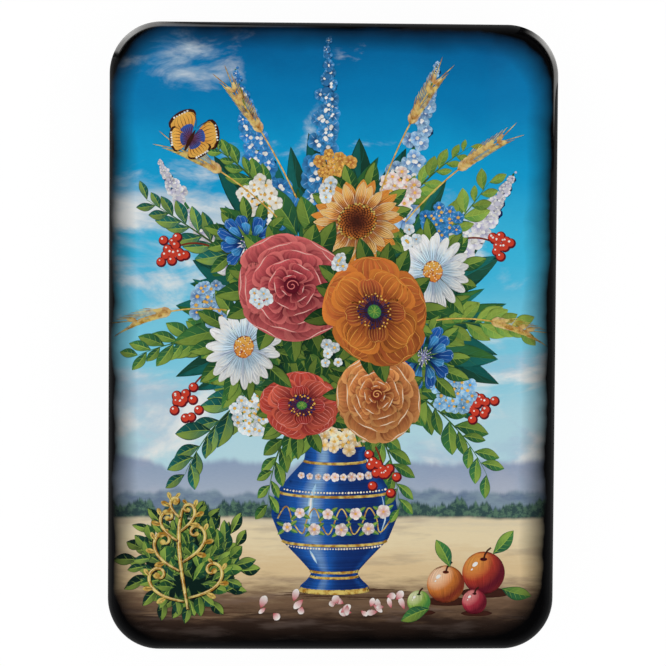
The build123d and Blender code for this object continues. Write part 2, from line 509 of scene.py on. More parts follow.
# %% Lid wall
lid_foot, board_foot = lid_low[2], lid_high[2]
lid_wall_profile = [
    (lid_wall_inset, board_foot), (lid_wall_inset, lid_foot),
    *[(i, lid_foot) for i in rim_insets(seam_round, lid_wall_inset)[::-1]],
    *[(i, lid_foot + z) for i, z in quarter(seam_round, 0, 90, 6)],
    (0.0, axis_z + 2.6), (0.0, board_foot - 0.3), (0.0, board_foot)]
lid_inside = [True] + [False] * (len(lid_wall_profile) - 1)
lid_wall = shell("lid_wall_lacquered", lid_wall_profile, "lid", "black_lacquer",
                 [black_lacquer, red_lacquer], lid_inside, lambda rings: lowered_back(rings, 1))
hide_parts("lid_wall")
print("lid wall", len(lid_wall.data.polygons), "faces")

# %% [markdown]
# Towards the lid's rim the painter lets everything sink into black. That fade belongs to the lid's
# outline and not to any one stroke, so it is a mask worked out from the place alone, in which
# scenery and strokes both end.

# %% The picture's rim
picture_radius = 15.5
fade_width = 5.6
rim_black = (0.0012, 0.0011, 0.0013)


def millimetres(finish):
    """Object coordinates in metres, the same in millimetres, and the parts of the latter."""
    place = finish.place()
    scaled = finish.node("ShaderNodeVectorMath", {"operation": "SCALE"}, {0: place, "Scale": 1 / MM})
    return place, scaled, finish.split(scaled)


def rim_distance(x, y):
    """How far a point lies inside an outline whose corners are rounder than the lid's, to hold more
    black: radius less the length of the part of (|x|, |y|) past the corner's centre."""
    over_x = (x.absolute() - (half_width - picture_radius)).most(0.0)
    over_y = (y.absolute() - (half_length - picture_radius)).most(0.0)
    in_corner = picture_radius - (over_x * over_x + over_y * over_y).root()
    in_side = (half_width - x.absolute()).least(half_length - y.absolute())
    return in_corner.least(in_side)


def rim_shade(finish, scaled, x, y):
    """1 over the picture and 0 at its rim, growing evenly over the fade's width. The edge sways, and
    the rim is narrower at the left and the top."""
    sway = finish.noise(scaled, 0.09, 3.0, 0.5) * 3.0
    depth = rim_distance(x, y) - sway - x * 0.0145 + y * 0.008
    return finish.rise(depth, 0.0, fade_width, "LINEAR")


print("the picture fades over", fade_width, "mm")

# %% [markdown]
# The scenery is laid out in millimetres from the middle of the lid, x across and y up the picture.
# A ramp turns height into colour by its stops, each a height and a colour.

# %% Ramps by height
sky_stops = [
    (-45, (0.68, 0.80, 0.82)), (-22, (0.50, 0.76, 0.84)), (-2, (0.22, 0.66, 0.84)),
    (18, (0.045, 0.52, 0.80)), (38, (0.003, 0.36, 0.69)), (55, (0.0, 0.21, 0.49)),
    (70, (0.0, 0.10, 0.28)),
]
yard_stops = [
    (-70, (0.016, 0.010, 0.007)), (-64, (0.040, 0.022, 0.015)), (-59, (0.17, 0.10, 0.058)),
    (-52, (0.76, 0.57, 0.32)), (-44, (0.86, 0.72, 0.46)), (-37, (0.66, 0.58, 0.44)),
]


def ramp(finish, value, low, high, stops):
    """Colours by value: each stop is (value, colour), spread from low to high."""
    shares = [((at - low) / (high - low), colour) for at, colour in stops]
    level = finish.rise(value, low, high, "LINEAR")
    return finish.node("ShaderNodeValToRGB", {"stops": shares}, {0: level})


print("stops in sky and yard", len(sky_stops), len(yard_stops))

# %% [markdown]
# A painter lays clouds with a broad soft brush. Here a cloud is a fractal noise, stretched sideways
# and cut off by a threshold that rises with height. The same noise read a little to one side tells
# where the cloud thins towards the light, and that paints its bright tops and grey-blue bellies.

# %% Sky and clouds
cloud_scale, cloud_edge = 0.034, (0.472, 0.585)


def painted_sky(finish, scaled, y, wave):
    """Colour of the sky: the ramp by height, with clouds over it."""
    sky = ramp(finish, y + wave * 14.0, -45, 70, sky_stops)
    stretched = finish.stretch(scaled, (0.62, 1.25, 1.0), -0.30, (3.1, 7.7, 0.0))
    puffs = finish.noise(stretched, cloud_scale, 7.0, 0.56, 0.35)
    wisps = finish.noise(stretched, 0.11, 6.0, 0.62, 0.8)
    density = puffs * 0.78 + wisps * 0.22 - finish.rise(y, 5.0, 75.0) * 0.075
    aside = finish.node("ShaderNodeVectorMath", {"operation": "ADD"}, {0: stretched, 1: (2.2, -3.0, 0.0)})
    lit = finish.noise(aside, cloud_scale, 7.0, 0.56, 0.35)
    under = finish.rise(puffs - lit, -0.05, 0.09)
    cloud = finish.mix(under, (0.44, 0.62, 0.76), (0.93, 0.93, 0.90))
    return finish.mix(finish.rise(density, *cloud_edge) * 0.94, sky, cloud)


print("a cloud is about", round(1 / cloud_scale / 0.62), "mm long")

# %% [markdown]
# Below lie two ranges of hills, a row of trees and a sunlit yard. Each covers the one behind it up
# to its own ridge, a height that wanders with x. Far layers are pale and blue, near ones dark and
# sharp, as air makes them.

# %% Hills, trees and yard
yard_line = -40.2


def below(finish, x, y, row, scale, detail, roughness, height, foot, softness):
    """1 below a ridge and 0 above it. The ridge is noise along x times height, plus foot."""
    ridge = finish.noise(finish.join(x * scale, row), 1.0, detail, roughness) * height + foot
    return finish.rise(ridge - y, -softness[0], softness[1])


def painted_land(finish, scaled, x, y, wave, land):
    """The sky's colour with hills, trees and yard laid over it from far to near."""
    far = below(finish, x, y, 2.0, 0.05, 5.0, 0.5, 16.0, -36.0, (1.2, 0.8))
    far_colour = ramp(finish, y, -48, -20, [(-48, (0.56, 0.60, 0.66)), (-20, (0.20, 0.27, 0.46))])
    land = finish.mix(far * 0.85, land, far_colour)
    near = below(finish, x, y, 9.0, 0.07, 6.0, 0.55, 13.0, -41.0, (0.8, 0.6))
    folds = finish.rise(finish.noise(finish.join(x * 0.16, y * 0.34, 3.0), 1.0, 5.0, 0.6), 0.35, 0.65)
    near_colour = finish.mix(folds, (0.085, 0.150, 0.255), (0.200, 0.300, 0.360))
    land = finish.mix(near * 0.8, land, near_colour)
    trees = below(finish, x, y, 5.0, 0.2, 7.0, 0.68, 13.0, -43.5, (0.5, 0.5))
    leaf = finish.rise(finish.noise(scaled, 0.7, 5.0, 0.7), 0.42, 0.62)
    land = finish.mix(trees * 0.93, land, finish.mix(leaf, (0.022, 0.060, 0.056), (0.10, 0.20, 0.12)))
    dabs = finish.noise(finish.join(x * 0.12, y * 0.75), 1.0, 5.0, 0.62)
    yard = ramp(finish, y + (dabs - 0.5) * 9.0, -70, -36, yard_stops)
    shadow = finish.noise(finish.join(x * 0.045, y * 0.3, 4.0), 1.0, 4.0, 0.55)
    yard = finish.mix(finish.rise(shadow, 0.5, 0.66) * 0.3, yard, (0.26, 0.19, 0.16))
    return finish.mix(finish.rise(yard_line + wave * 2.5 - y, -0.5, 0.5), land, yard)


print("the yard begins at y =", yard_line, "mm")

# %% [markdown]
# The lid's board and its painted ground share one finish. The drag of the brush is a fine slanting
# grain that varies the paint and lifts the varnish by a few microns. The base's own shine is almost
# off: with more of it, a grey haze lies over the deep colours.

# %% Scenery under varnish
varnish = {"Coat_Weight": 0.95, "Coat_Roughness": 0.03, "Coat_IOR": 1.6}


def scenery(name):
    """The painted background under clear varnish."""
    finish = Finish(name)
    place, scaled, (x, y, z) = millimetres(finish)
    wave = finish.noise(scaled, 0.055, 4.0, 0.55) - 0.5
    land = painted_land(finish, scaled, x, y, wave, painted_sky(finish, scaled, y, wave))
    grain = finish.noise(finish.stretch(scaled, (0.8, 3.6, 1.0), 0.35), 1.1, 5.0, 0.65)
    land = finish.mix(0.16, land, finish.grey(grain), "SOFT_LIGHT")
    height = lacquer_marks(finish, place) + grain * 0.22
    return finish.surface(
        Base_Color=finish.mix(rim_shade(finish, scaled, x, y), rim_black, land),
        Roughness=0.32 + grain * 0.1,
        Specular_IOR_Level=0.05,
        Normal=finish.bump(height, marks_height),
        **varnish,
    )


scenery_finish = scenery("painted scenery")
print("scenery nodes", len(scenery_finish.node_tree.nodes))

# %% [markdown]
# The lid's board is pressed in a mould, so its soft edge is one even rounding that follows the low
# arch. The profile is first written as if the top were flat, and the arch's drop is then taken off
# in full at the top and not at the foot.

# %% Lid board
paint_room = 0.26
face_height = top_height - paint_room
side_top = board_foot + 0.35
board_profile = [
    (0.0, board_foot), (0.0, side_top),
    *[(i, face_height - z) for i, z in quarter(lid_round, 90, 0, 13)],
    *[(i, face_height) for i in (3.3, 3.7, 4.1, 4.5)], (4.6, face_height - 0.3)]


def arched(rings):
    """Lowers each ring by the arch's drop, in step with its height over the board's low side."""
    heights = np.array(board_profile)[:, 1]
    share = np.clip((heights - side_top) / (face_height - lid_round - side_top), 0, 1)
    rings[..., 2] -= arch_drop(rings[..., 0]) * share[:, None]
    return rings


board = shell("lid_board_lacquered", board_profile, "lid", "black_lacquer",
              [scenery_finish, red_lacquer], [False] * len(board_profile), arched, looped=False)
board.data.polygons[len(board.data.polygons) - 2].material_index = 1
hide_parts("lid_board")
print("board", len(board.data.polygons), "faces")

# %% [markdown]
# The painted ground is a thin skin of chalk and glue, let into the board. Rows whose width follows
# the round corners cover it without slivers, which a plain rectangle can't do. Its rim sinks a few
# microns, so that it slips under the board's face.

# %% Painted ground
ground_thickness = 0.1
row_steps, column_count = 58, 81


def ground_rows():
    """Rows of the ground's outline: y, and half the width there, closer together in the corners."""
    radius = corner_radius - ground_inset
    reach_x, reach_y = half_width - ground_inset, half_length - ground_inset
    angles = np.radians(even(90, 0, 19))
    ends_y = reach_y - radius + radius * np.sin(angles)
    ends_x = reach_x - radius + radius * np.cos(angles)
    middle = even(reach_y - radius, radius - reach_y, row_steps)[1:-1]
    y = np.concatenate([ends_y, middle, -ends_y[::-1]])
    return y, np.concatenate([ends_x, np.full(len(middle), reach_x), ends_x[::-1]])


def soft_step(value, low, high):
    """A smooth step from 0 at low to 1 at high: share^2 * (3 - 2 * share)."""
    share = np.clip((value - low) / (high - low), 0, 1)
    return share * share * (3 - 2 * share)


def ground_grid():
    """Top of the ground: y by rows, x = half width times a share from -1 to 1, and the height is
    the face less the arch's drop, sinking a few microns at the rim."""
    y, half = ground_rows()
    across = even(-1, 1, column_count)
    share = np.sin(across / 2 * math.pi) * 0.12 + across * 0.88
    x = half[:, None] * share
    y = np.repeat(y[:, None], x.shape[1], 1)
    inset = np.minimum(half_width - np.abs(x), half_length - np.abs(y))
    rim = soft_step(inset, ground_inset, ground_inset + 0.9)
    return np.stack([x, y, face_height - arch_drop(x) - 0.004 + 0.0065 * rim], -1)


def slab(grid, thickness):
    """A closed slab from the grid of its top: points, and faces of top, underside and rim."""
    index = np.arange(grid[..., 0].size).reshape(grid.shape[:2])
    rim = np.concatenate([index[0, :-1], index[:-1, -1], index[-1, :0:-1], index[:0:-1, 0]])
    side = np.stack([rim, np.roll(rim, -1), np.roll(rim, -1) + index.size, rim + index.size], -1)
    top = grid_faces(index)
    points = np.vstack([grid.reshape(-1, 3), (grid - [0.0, 0.0, thickness]).reshape(-1, 3)])
    return points, np.vstack([top, top[:, ::-1] + index.size, side]).tolist()


ground = build_mesh("painted_ground_scenery", *slab(ground_grid(), ground_thickness), "lid",
                    "lid_picture", [scenery_finish])
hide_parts("painted_ground")
print("ground", len(ground.data.polygons), "faces")

# %% [markdown]
# Over the scenery the painter lays strokes. Each is a plate of paint far thinner than a hair.
# Strokes drawn into a texture would be cheaper, but these stay sharp at any distance and catch the
# light as real paint does. A grid of cells over the lid, the canvas, tells which strokes cross.

# %% The canvas
paint_thickness, paint_step, paint_lift = 0.0003, 0.001, 0.004
cell, canvas_size = 0.25, np.array([440, 600])
canvas_reach = canvas_size * cell / 2
strokes = []
rng = np.random.default_rng(1894)
chance = rng.uniform


def between(grid, axis, parts=3):
    """Sets points evenly between neighbours along one axis: a * (1 - f) + b * f."""
    a = np.moveaxis(grid, axis, 0)
    steps = [a[:-1] * (1 - f) + a[1:] * f for f in np.arange(parts) / parts]
    a = np.concatenate([np.stack(steps, 1).reshape(-1, *a.shape[1:]), a[-1:]])
    return np.moveaxis(a, 0, axis)


def cells_under(grid):
    """The canvas cells under each mark of a grid of shape (marks, along, across, 2)."""
    for axis in (1, 2):
        widest = np.linalg.norm(np.diff(grid, axis=axis), axis=-1).max()
        grid = between(grid, axis, int(widest / cell) + 1)
    at = np.clip(((grid + canvas_reach) / cell).astype(int), 0, canvas_size - 1)
    return (at[..., 1] * canvas_size[0] + at[..., 0]).reshape(len(grid), -1)


print("the canvas reaches", canvas_reach, "mm from the middle")

# %% [markdown]
# A painter works from the back to the front, and so does this list. A mark has a grid of points, a
# tone, a share of gold, and a map of its own length and width, so that bristle lines follow every
# bend. Fine marks may be tied to a broad one that they are painted on.

# %% Laying a mark
def lay(piece, grid, tone, gilt=0.0, room=1, over=None, level=1):
    """Adds marks to a piece. grid is (marks, along, across, 2), and room the levels that a mark
    takes. over names the marks that these are painted on, so many levels up. Stroke map: the run
    along the middle line from a chance start, and the distance off that line."""
    n, m, k = grid.shape[:3]
    middle = grid[:, :, k // 2]
    side = even(-1, 1, k)[None, :]
    run = np.linalg.norm(np.diff(middle, axis=1, prepend=middle[:, :1]), axis=-1).cumsum(1)
    off = np.linalg.norm(grid - middle[:, :, None], axis=-1) * np.sign(side)
    u = np.repeat((run + chance(0, 900, (n, 1)))[..., None], k, 2)
    made = {
        "piece": piece, "place": grid, "tone": np.broadcast_to(tone, (n, m, k, 3)),
        "gilt": np.broadcast_to(gilt, (n, m, k)), "stroke": np.stack([u, off + 40.0], -1),
        "room": room, "over": over, "level": level,
    }
    strokes.append(made)
    return made


print(len(strokes), "sets of marks")

# %% [markdown]
# Two plates at one height would flicker and cut through each other. So the canvas remembers how
# high the paint stands over every cell, and a new mark starts above the highest cell under it.
# Marks that later ones hide completely are left out.

# %% Stacking the paint
def note_owners(own):
    """Marks each broad mark that is uppermost in some cell of the canvas as shown."""
    owner = np.full(canvas_size.prod(), -1)
    start = 0
    for made in own:
        made["cells"], made["first"] = cells_under(made["place"]), start
        for number, cells in enumerate(made["cells"]):
            owner[cells] = start + number
        start += len(made["place"])
    shown = np.zeros(start, bool)
    shown[owner[owner >= 0]] = True
    for made in own:
        made["shown"] = shown[made["first"]:made["first"] + len(made["place"])]
    return start, shown.sum()


def stack_strokes():
    """Finds which marks still show, and the base height of each one that does."""
    own = [made for made in strokes if made["over"] is None]
    laid, seen = note_owners(own)
    canvas = np.zeros(canvas_size.prod())
    for made in own:
        made["base"] = np.zeros(len(made["place"]))
        for number in np.flatnonzero(made["shown"]):
            cells = made["cells"][number]
            made["base"][number] = canvas[cells].max()
            canvas[cells] = made["base"][number] + made["room"] * paint_step
    for made in strokes:
        if made["over"] is not None:
            times = len(made["place"]) // len(made["over"]["place"])
            made["shown"] = np.repeat(made["over"]["shown"], times)
            made["base"] = np.repeat(made["over"]["base"], times) + made["level"] * paint_step
    print("marks", laid, "still seen", seen, "paint stands", round(float(canvas.max()), 3), "mm")
    return float(canvas.max())


print("one level of paint is", paint_step * 1000, "micron")

# %% [markdown]
# A plate has a domed top and flat faces below that share its rim, so it is closed. Only the top is
# smooth. All marks of a piece go into one mesh, upper marks last.

# %% Plates of paint
def plate_faces(n, m, k, start):
    """Faces of n plates: end caps, the flat under faces, and the four-sided faces of the tops."""
    index = np.arange(m * k).reshape(m, k)
    under = np.stack([index[:-1, 0], index[:-1, -1], index[1:, -1], index[1:, 0]], -1)
    ends = np.stack([index[0], index[-1][::-1]])
    shift = start + np.arange(n)[:, None, None] * (m * k)
    return ends[None] + shift, under[None] + shift, grid_faces(index)[None] + shift


def gather(piece):
    """The points of a piece's marks, each with height, tone, gilt and stroke map, and its faces:
    caps, under faces, and tops by height. Top: base + thickness * root(1 - s^2), less at the ends."""
    ends, unders, tops, order, points, start = [], [], [], [], [], 0
    for made in strokes:
        seen = made["shown"]
        if made["piece"] != piece or not seen.any():
            continue
        place, base = made["place"][seen], made["base"][seen]
        n, m, k = place.shape[:3]
        t, s = even(0, 1, m)[:, None], even(-1, 1, k)[None, :]
        dome = np.sqrt(np.clip(1 - s * s, 0, 1)) * np.clip(np.minimum(t, 1 - t) * 6, 0, 1)
        height = (base[:, None, None] + dome * paint_thickness)[..., None]
        rows = [place, height, made["tone"][seen], made["gilt"][seen][..., None], made["stroke"][seen]]
        points.append(np.concatenate(rows, -1).reshape(n * m * k, -1))
        cap, under, top = plate_faces(n, m, k, start)
        ends += cap.reshape(-1, k).tolist()
        unders.append(under.reshape(-1, 4))
        tops.append(top.reshape(-1, 4))
        order.append(np.repeat(base, top.shape[1]))
        start += n * m * k
    tops = np.concatenate(tops)[np.argsort(np.concatenate(order), kind="stable")]
    return np.concatenate(points), ends, np.concatenate(unders).tolist(), tops.tolist()


print("faces of one plate of 7 by 5 points", sum(len(f[0]) for f in plate_faces(1, 7, 5, 0)))

# %% [markdown]
# The finish needs each stroke's tone, its gold and its own map, so they go into the mesh as
# attributes and a UV map in millimetres. A second, flat map lays all marks as they lie on the lid.

# %% Making pieces of paint
def make_piece(piece, finish, thinner):
    """Joins a piece's marks into one mesh on the lid. A point stands over the arched face by the
    paint's lift and its own height, thinned to the room that there is."""
    points, ends, unders, tops = gather(piece)
    place, height, tone, gilt, stroke = np.split(points, [2, 3, 6, 7], 1)
    z = face_height - arch_drop(place[:, :1]) + paint_lift + height * thinner
    below = ends + unders
    made = build_mesh(piece, np.hstack([place, z]), below + tops, "lid", "lid_picture", [finish])
    mesh = made.data
    mesh.polygons.foreach_set("use_smooth", np.arange(len(below) + len(tops)) >= len(below))
    tone = np.hstack([np.clip(tone, 0, 1), np.ones((len(points), 1))])
    mesh.attributes.new("tone", "FLOAT_COLOR", "POINT").data.foreach_set("color", tone.ravel())
    mesh.attributes.new("gilt", "FLOAT", "POINT").data.foreach_set("value", gilt.ravel())
    corners = np.empty(len(mesh.loops), np.int32)
    mesh.loops.foreach_get("vertex_index", corners)
    flat = place / [2 * half_width, 2 * half_length] + 0.5
    for name, map_points in (("OFBake", flat), ("stroke", stroke)):
        mesh.uv_layers.new(name=name).data.foreach_set("uv", map_points[corners].ravel())
    mesh.update()
    triangles = sum(len(face) - 2 for face in ends) + 2 * (len(tops) + len(unders))
    print(piece, "marks", len(ends) // 2, "triangles", triangles)


print("a piece's maps: OFBake over the lid, stroke along each mark")

# %% [markdown]
# Most strokes are ribbons: a path with a half width at each point. Twigs, spikes and stalks follow
# a path that turns evenly, as if drawn by a sure hand.

# %% Ribbons and growing paths
def pair(x, y):
    """Joins x and y into points, after spreading both to one shape."""
    return np.stack(np.broadcast_arrays(x, y), -1)


def ribbon(path, half, across=3):
    """Grid from paths (marks, along, 2) and half widths: path plus side * half * unit normal."""
    ahead = np.gradient(path, axis=1)
    ahead = ahead / np.maximum(np.linalg.norm(ahead, axis=-1, keepdims=True), 1e-9)
    normal = pair(-ahead[..., 1], ahead[..., 0])
    side = even(-1, 1, across)[:, None]
    half = np.broadcast_to(half, path.shape[:2])
    return path[:, :, None] + side * (normal * np.maximum(half, 0.015)[..., None])[:, :, None]


def growth(start, turn, length, curl, points, held=False):
    """Shares, directions and points of a path. The direction goes from turn by curl, and each step
    is (cos, sin) * length / (points - 1). A held path begins at its start and not a step on."""
    t = even(0, 1, points)
    bend = turn + curl * t
    step = heading(bend) * length / (points - 1)
    path = np.asarray(start) + np.cumsum(step, 0)
    return t, bend, path - step[0] if held else path


print("a ribbon's grid", ribbon(growth((0, 0), 0.0, 10.0, 1.0, 5)[2][None], 0.5).shape)

# %% [markdown]
# Petals and leaves are a mapping: along runs from root to tip and across from edge to edge. Any
# stroke inside a petal, such as a vein or a light edge, is read from the same mapping, so it fits.
# A few numbers bend, notch or frill it.

# %% Petals
def each(value):
    """A value for each petal, ready to meet grids of (petals, along, across)."""
    return np.asarray(value, float).reshape(-1, 1, 1) if np.ndim(value) else float(value)


def steps(along):
    """Rows from root to tip, closer at the tip to round it: sin(pi / 2 * share)."""
    return np.sin(even(0, math.pi / 2, along))


def aslant(place, tilt, centre=0.0):
    """Points of a flower seen aslant. A tilt is (share, direction): the points are drawn together
    along the direction, to this share."""
    away = ((place - centre) * heading(tilt[1])).sum(-1, keepdims=True)
    return place + away * (tilt[0] - 1) * heading(tilt[1])


class Petals:
    """A set of petals. With t from root to tip and s from edge to edge, a point lies at
    along = length * (t + wavy * (1 - t^6)), across = width * sin(pi * t^p)^q * s + bend * length * t^2,
    with wavy = frill * t^3 * sin(waves * s + phase) - notch * t^4 * (1 - s^2). It is turned to the
    petal's angle, then squeezed along one direction for a flower that is seen from the side."""

    def __init__(self, root, angle, length, width, bend=0.0, p=1.4, q=0.6, notch=0.0,
                 frill=0.0, tilt=(1.0, 0.0), centre=None):
        self.root = np.atleast_2d(np.asarray(root, float))
        self.angle, self.length, self.width, self.bend = map(each, (angle, length, width, bend))
        self.p, self.q, self.notch, self.frill, self.waves = p, q, notch, frill, 5.0
        self.tilt = tilt
        self.centre = self.root.mean(0) if centre is None else np.asarray(centre, float)
        self.count = max(len(self.root), *map(np.size, (angle, length, width, bend)))
        self.phase = chance(0, 6.28, (self.count, 1, 1))

    def at(self, t, s):
        """Points of all petals at t and s, by the formula above."""
        wavy = self.frill * t**3 * np.sin(self.waves * s + self.phase) - self.notch * t**4 * (1 - s * s)
        along = self.length * (t + wavy * (1 - t**6))
        across = self.width * np.sin(math.pi * np.clip(t, 0.0002, 0.9998) ** self.p) ** self.q * s
        across = across + self.bend * self.length * t * t
        cos, sin = np.cos(self.angle), np.sin(self.angle)
        place = self.root[:, None, None] + pair(along * cos - across * sin, along * sin + across * cos)
        return aslant(place, self.tilt, self.centre)

    def plate(self, along=7, across=5):
        """The grids of the whole petals."""
        return self.at(steps(along)[None, :, None], even(-1, 1, across)[None, None, :])

    def lines(self, sides, start=0.1, stop=0.9, half=0.1, along=6, spread=1.0):
        """Thin strokes inside the petals, one for each side value, from start to stop."""
        t = even(start, stop, along)[None, :, None]
        sides = np.asarray(sides, float)[None, None, :] * spread
        drift = t * 0 + sides
        path = self.at(np.broadcast_to(t, drift.shape), drift)
        path = np.moveaxis(path, 2, 1).reshape(-1, along, 2)
        swell = np.sin(even(0.15, math.pi - 0.12, along))[None]
        return ribbon(path, half * swell * chance(0.7, 1.25, (len(path), 1)))

    def edge(self, start=-0.85, stop=0.85, at=0.96, half=0.12, along=7):
        """A stroke along the tip's edge, from side to side."""
        s = even(start, stop, along)[None, None, :]
        path = self.at(np.full_like(s, at), s).reshape(-1, along, 2)[:, ::-1]
        return ribbon(path, half * np.sin(even(0.2, math.pi - 0.2, along))[None])


print("a petal can give", [name for name in vars(Petals) if name[0] != "_"])

# %% [markdown]
# The palette is mixed before painting, in linear red, green and blue. A petal is never one tone: it
# climbs from root to tip and turns at its edges, and no two are quite alike.

# %% Palette and the tone of petals
night_green, deep_green, teal = np.array(
    [(0.006, 0.030, 0.022), (0.012, 0.075, 0.045), (0.010, 0.155, 0.135)])
leaf_green, lime, pitch_green = np.array(
    [(0.055, 0.215, 0.045), (0.300, 0.450, 0.070), (0.004, 0.016, 0.012)])
umber, brick, terracotta = np.array(
    [(0.045, 0.013, 0.008), (0.190, 0.028, 0.012), (0.430, 0.085, 0.028)])
orange, amber, cream = np.array(
    [(0.760, 0.240, 0.035), (0.860, 0.480, 0.090), (0.880, 0.800, 0.620)])
wine, rose, blush = np.array(
    [(0.110, 0.006, 0.016), (0.500, 0.035, 0.060), (0.830, 0.400, 0.360)])
ink_blue, cobalt, azure = np.array(
    [(0.004, 0.020, 0.120), (0.010, 0.095, 0.400), (0.050, 0.300, 0.650)])
pale_blue, chalk, lilac = np.array(
    [(0.380, 0.620, 0.820), (0.880, 0.870, 0.820), (0.300, 0.290, 0.560)])


def blend(first, second, share):
    """Colours between two: first * (1 - share) + second * share."""
    share = np.asarray(share)[..., None]
    return np.asarray(first) * (1 - share) + np.asarray(second) * share


def petal_tone(count, along, across, root, tip, edge=None, power=1.0, vary=0.12):
    """Tone of petals: from root to tip along t^power, towards edge at the sides, and a little
    lighter or darker from petal to petal."""
    t = steps(along)[None, :, None] ** power
    s = np.abs(even(-1, 1, across))[None, None, :]
    tone = blend(root, tip, np.broadcast_to(t, (count, along, across)))
    if edge is not None:
        tone = tone * (1 - s[..., None] ** 3 * 0.6) + np.asarray(edge) * s[..., None] ** 3 * 0.6
    return tone * chance(1 - vary, 1 + vary, (count, 1, 1, 1))


print("halfway from rose to blush", blend(rose, blush, 0.5).round(3))

# %% [markdown]
# The finish reads each stroke's own tone. Bristle lines are a noise stretched along the stroke.
# Leaf gold is the same finish with its metal share turned up, so bright scrolls and matt petals
# need one material only. Its colour goes in patches from dark to bright gold, a painted sheen.

# %% Finish of the strokes
def stroke_finish(name):
    """Oil strokes in their own tone, or in gold with patches of painted sheen, that sink into black with
    the picture's rim.
    """
    finish = Finish(name)
    place, scaled, (x, y, z) = millimetres(finish)
    tone = finish.node("ShaderNodeAttribute", {"attribute_name": "tone"}, output="Color")
    gilt = finish.node("ShaderNodeAttribute", {"attribute_name": "gilt"}, output="Fac")
    u, v = finish.split(finish.node("ShaderNodeUVMap", {"uv_map": "stroke"}))[:2]
    bristles = finish.noise(finish.join(u * 0.35, v * 6.0), 1.0, 4.0, 0.6)
    pools = finish.rise(finish.noise(scaled, 0.8, 4.0, 0.55), 0.3, 0.7)
    colour = finish.mix(0.34, tone, finish.grey(bristles), "OVERLAY")
    colour = finish.mix(pools * 0.16, colour, (0.9, 0.86, 0.78), "SOFT_LIGHT")
    # The gold's colour goes from dark to bright gold in noise patches: a painted sheen of the metal.
    leaf = finish.rise(finish.noise(scaled, 0.8, 3.0, 0.5), 0.36, 0.62)
    colour = finish.mix(gilt, colour, finish.mix(leaf, (0.56, 0.26, 0.03), (1.0, 0.76, 0.21)))
    return finish.surface(
        Base_Color=finish.mix(rim_shade(finish, scaled, x, y), rim_black, colour),
        Metallic=gilt * 0.42,
        Roughness=0.34 + bristles * 0.12 + gilt * 0.02,
        Specular_IOR_Level=0.1,
        Normal=finish.bump(lacquer_marks(finish, place) + bristles * 0.3, marks_height),
        **varnish,
    )


oil_paint = stroke_finish("oil strokes under varnish")
print("nodes in the paint", len(oil_paint.node_tree.nodes))

# %% [markdown]
# A leaf is one dark plate with a lighter half, a pale midrib, and fine side veins that curve
# towards the tip. Leaves near the heart of the bouquet lie in shade, which gives it depth.

# %% Leaves
heart = np.array([0.0, 4.0])


def depth_shade(place):
    """Light on a leaf: 0.42 at the heart of the bouquet, rising to 1 at 34 mm from it."""
    far = np.linalg.norm((np.atleast_2d(place) - heart) * [1.0, 0.85], axis=1)
    return np.clip(0.42 + 0.58 * (far / 34) ** 1.2, 0.42, 1.0)[:, None, None, None]


def leaves(piece, root, angle, length, width, bend, dark, light, veins=5, rib=lime):
    """Pointed leaves with a light half, a midrib and side veins."""
    shape = Petals(root, angle, length, width, bend, p=1.15, q=0.9)
    n = shape.count
    tip = shape.at(np.full((1, 1, 1), 0.8), np.zeros((1, 1, 1))).reshape(-1, 2)
    dim = depth_shade(tip) * chance(0.78, 1.22, (n, 1, 1, 1))
    tone = petal_tone(n, 15, 5, dark, light, vary=0.1, power=1.3) * dim
    base = lay(piece, shape.plate(15, 5), tone, room=3)
    t, s = even(0.03, 0.97, 11)[None, :, None], even(0.0, 0.93, 4)[None, None, :]
    half_tone = petal_tone(n, 11, 4, light, rib, power=1.4, vary=0.1) * 0.75 * dim
    lay(piece, shape.at(t, s), half_tone, over=base, level=1)
    lay(piece, shape.lines([0.0], 0.0, 0.97, 0.10, 9), rib * 0.9 * dim, over=base, level=2)
    half = 0.055 * even(1.1, 0.3, 6)[None]
    for side in (-1, 1):
        t = even(0.12, 0.78, veins)[None, :, None] + even(0, 0.16, 6)[None, None, :]
        s = side * even(0.04, 0.86, 6)[None, None, :] * np.ones_like(t)
        path = shape.at(t, s).reshape(-1, 6, 2)
        vein = blend(light, rib, 0.6) * np.repeat(dim, veins, 0)
        lay(piece, ribbon(path, half), vein, over=base, level=2)


print("light on a leaf 17 mm out", depth_shade(heart + [17, 0]).round(2).item())

# %% [markdown]
# Leaves come in sprays: a curved twig with leaves on both sides that grow smaller to its tip.

# %% Sprays
def spray(piece, start, angle, length, curl, count, leaf, dark, light):
    """A twig with leaves on both sides, that turns by curl from start to end."""
    t, turn, path = growth(start, angle, length, curl, 24, held=True)
    lay(piece, ribbon(path[None], 0.28 * (1.15 - t)[None]), blend(umber, leaf_green, t)[None, :, None])
    at = even(3, 23, count).astype(int)
    side = np.where(np.arange(count) % 2, 1.0, -1.0)
    out = turn[at] + side * chance(0.55, 0.95, count)
    size = leaf * (1.1 - 0.55 * t[at]) * chance(0.8, 1.2, count)
    wide = size * chance(0.2, 0.27, count)
    leaves(piece, path[at], out, size, wide, side * -0.14, dark, light, veins=4)


print("a twig turns from", growth((0, 0), 0.5, 20, -0.75, 24)[1][[0, -1]].round(2))

# %% [markdown]
# A big flower is rings of petals, outer ring first. Every petal gets its plate, broad brush marks,
# dark lines at the root, light ones towards the tip, and a fine line along its edge. Petals that
# point away from the light are darker.

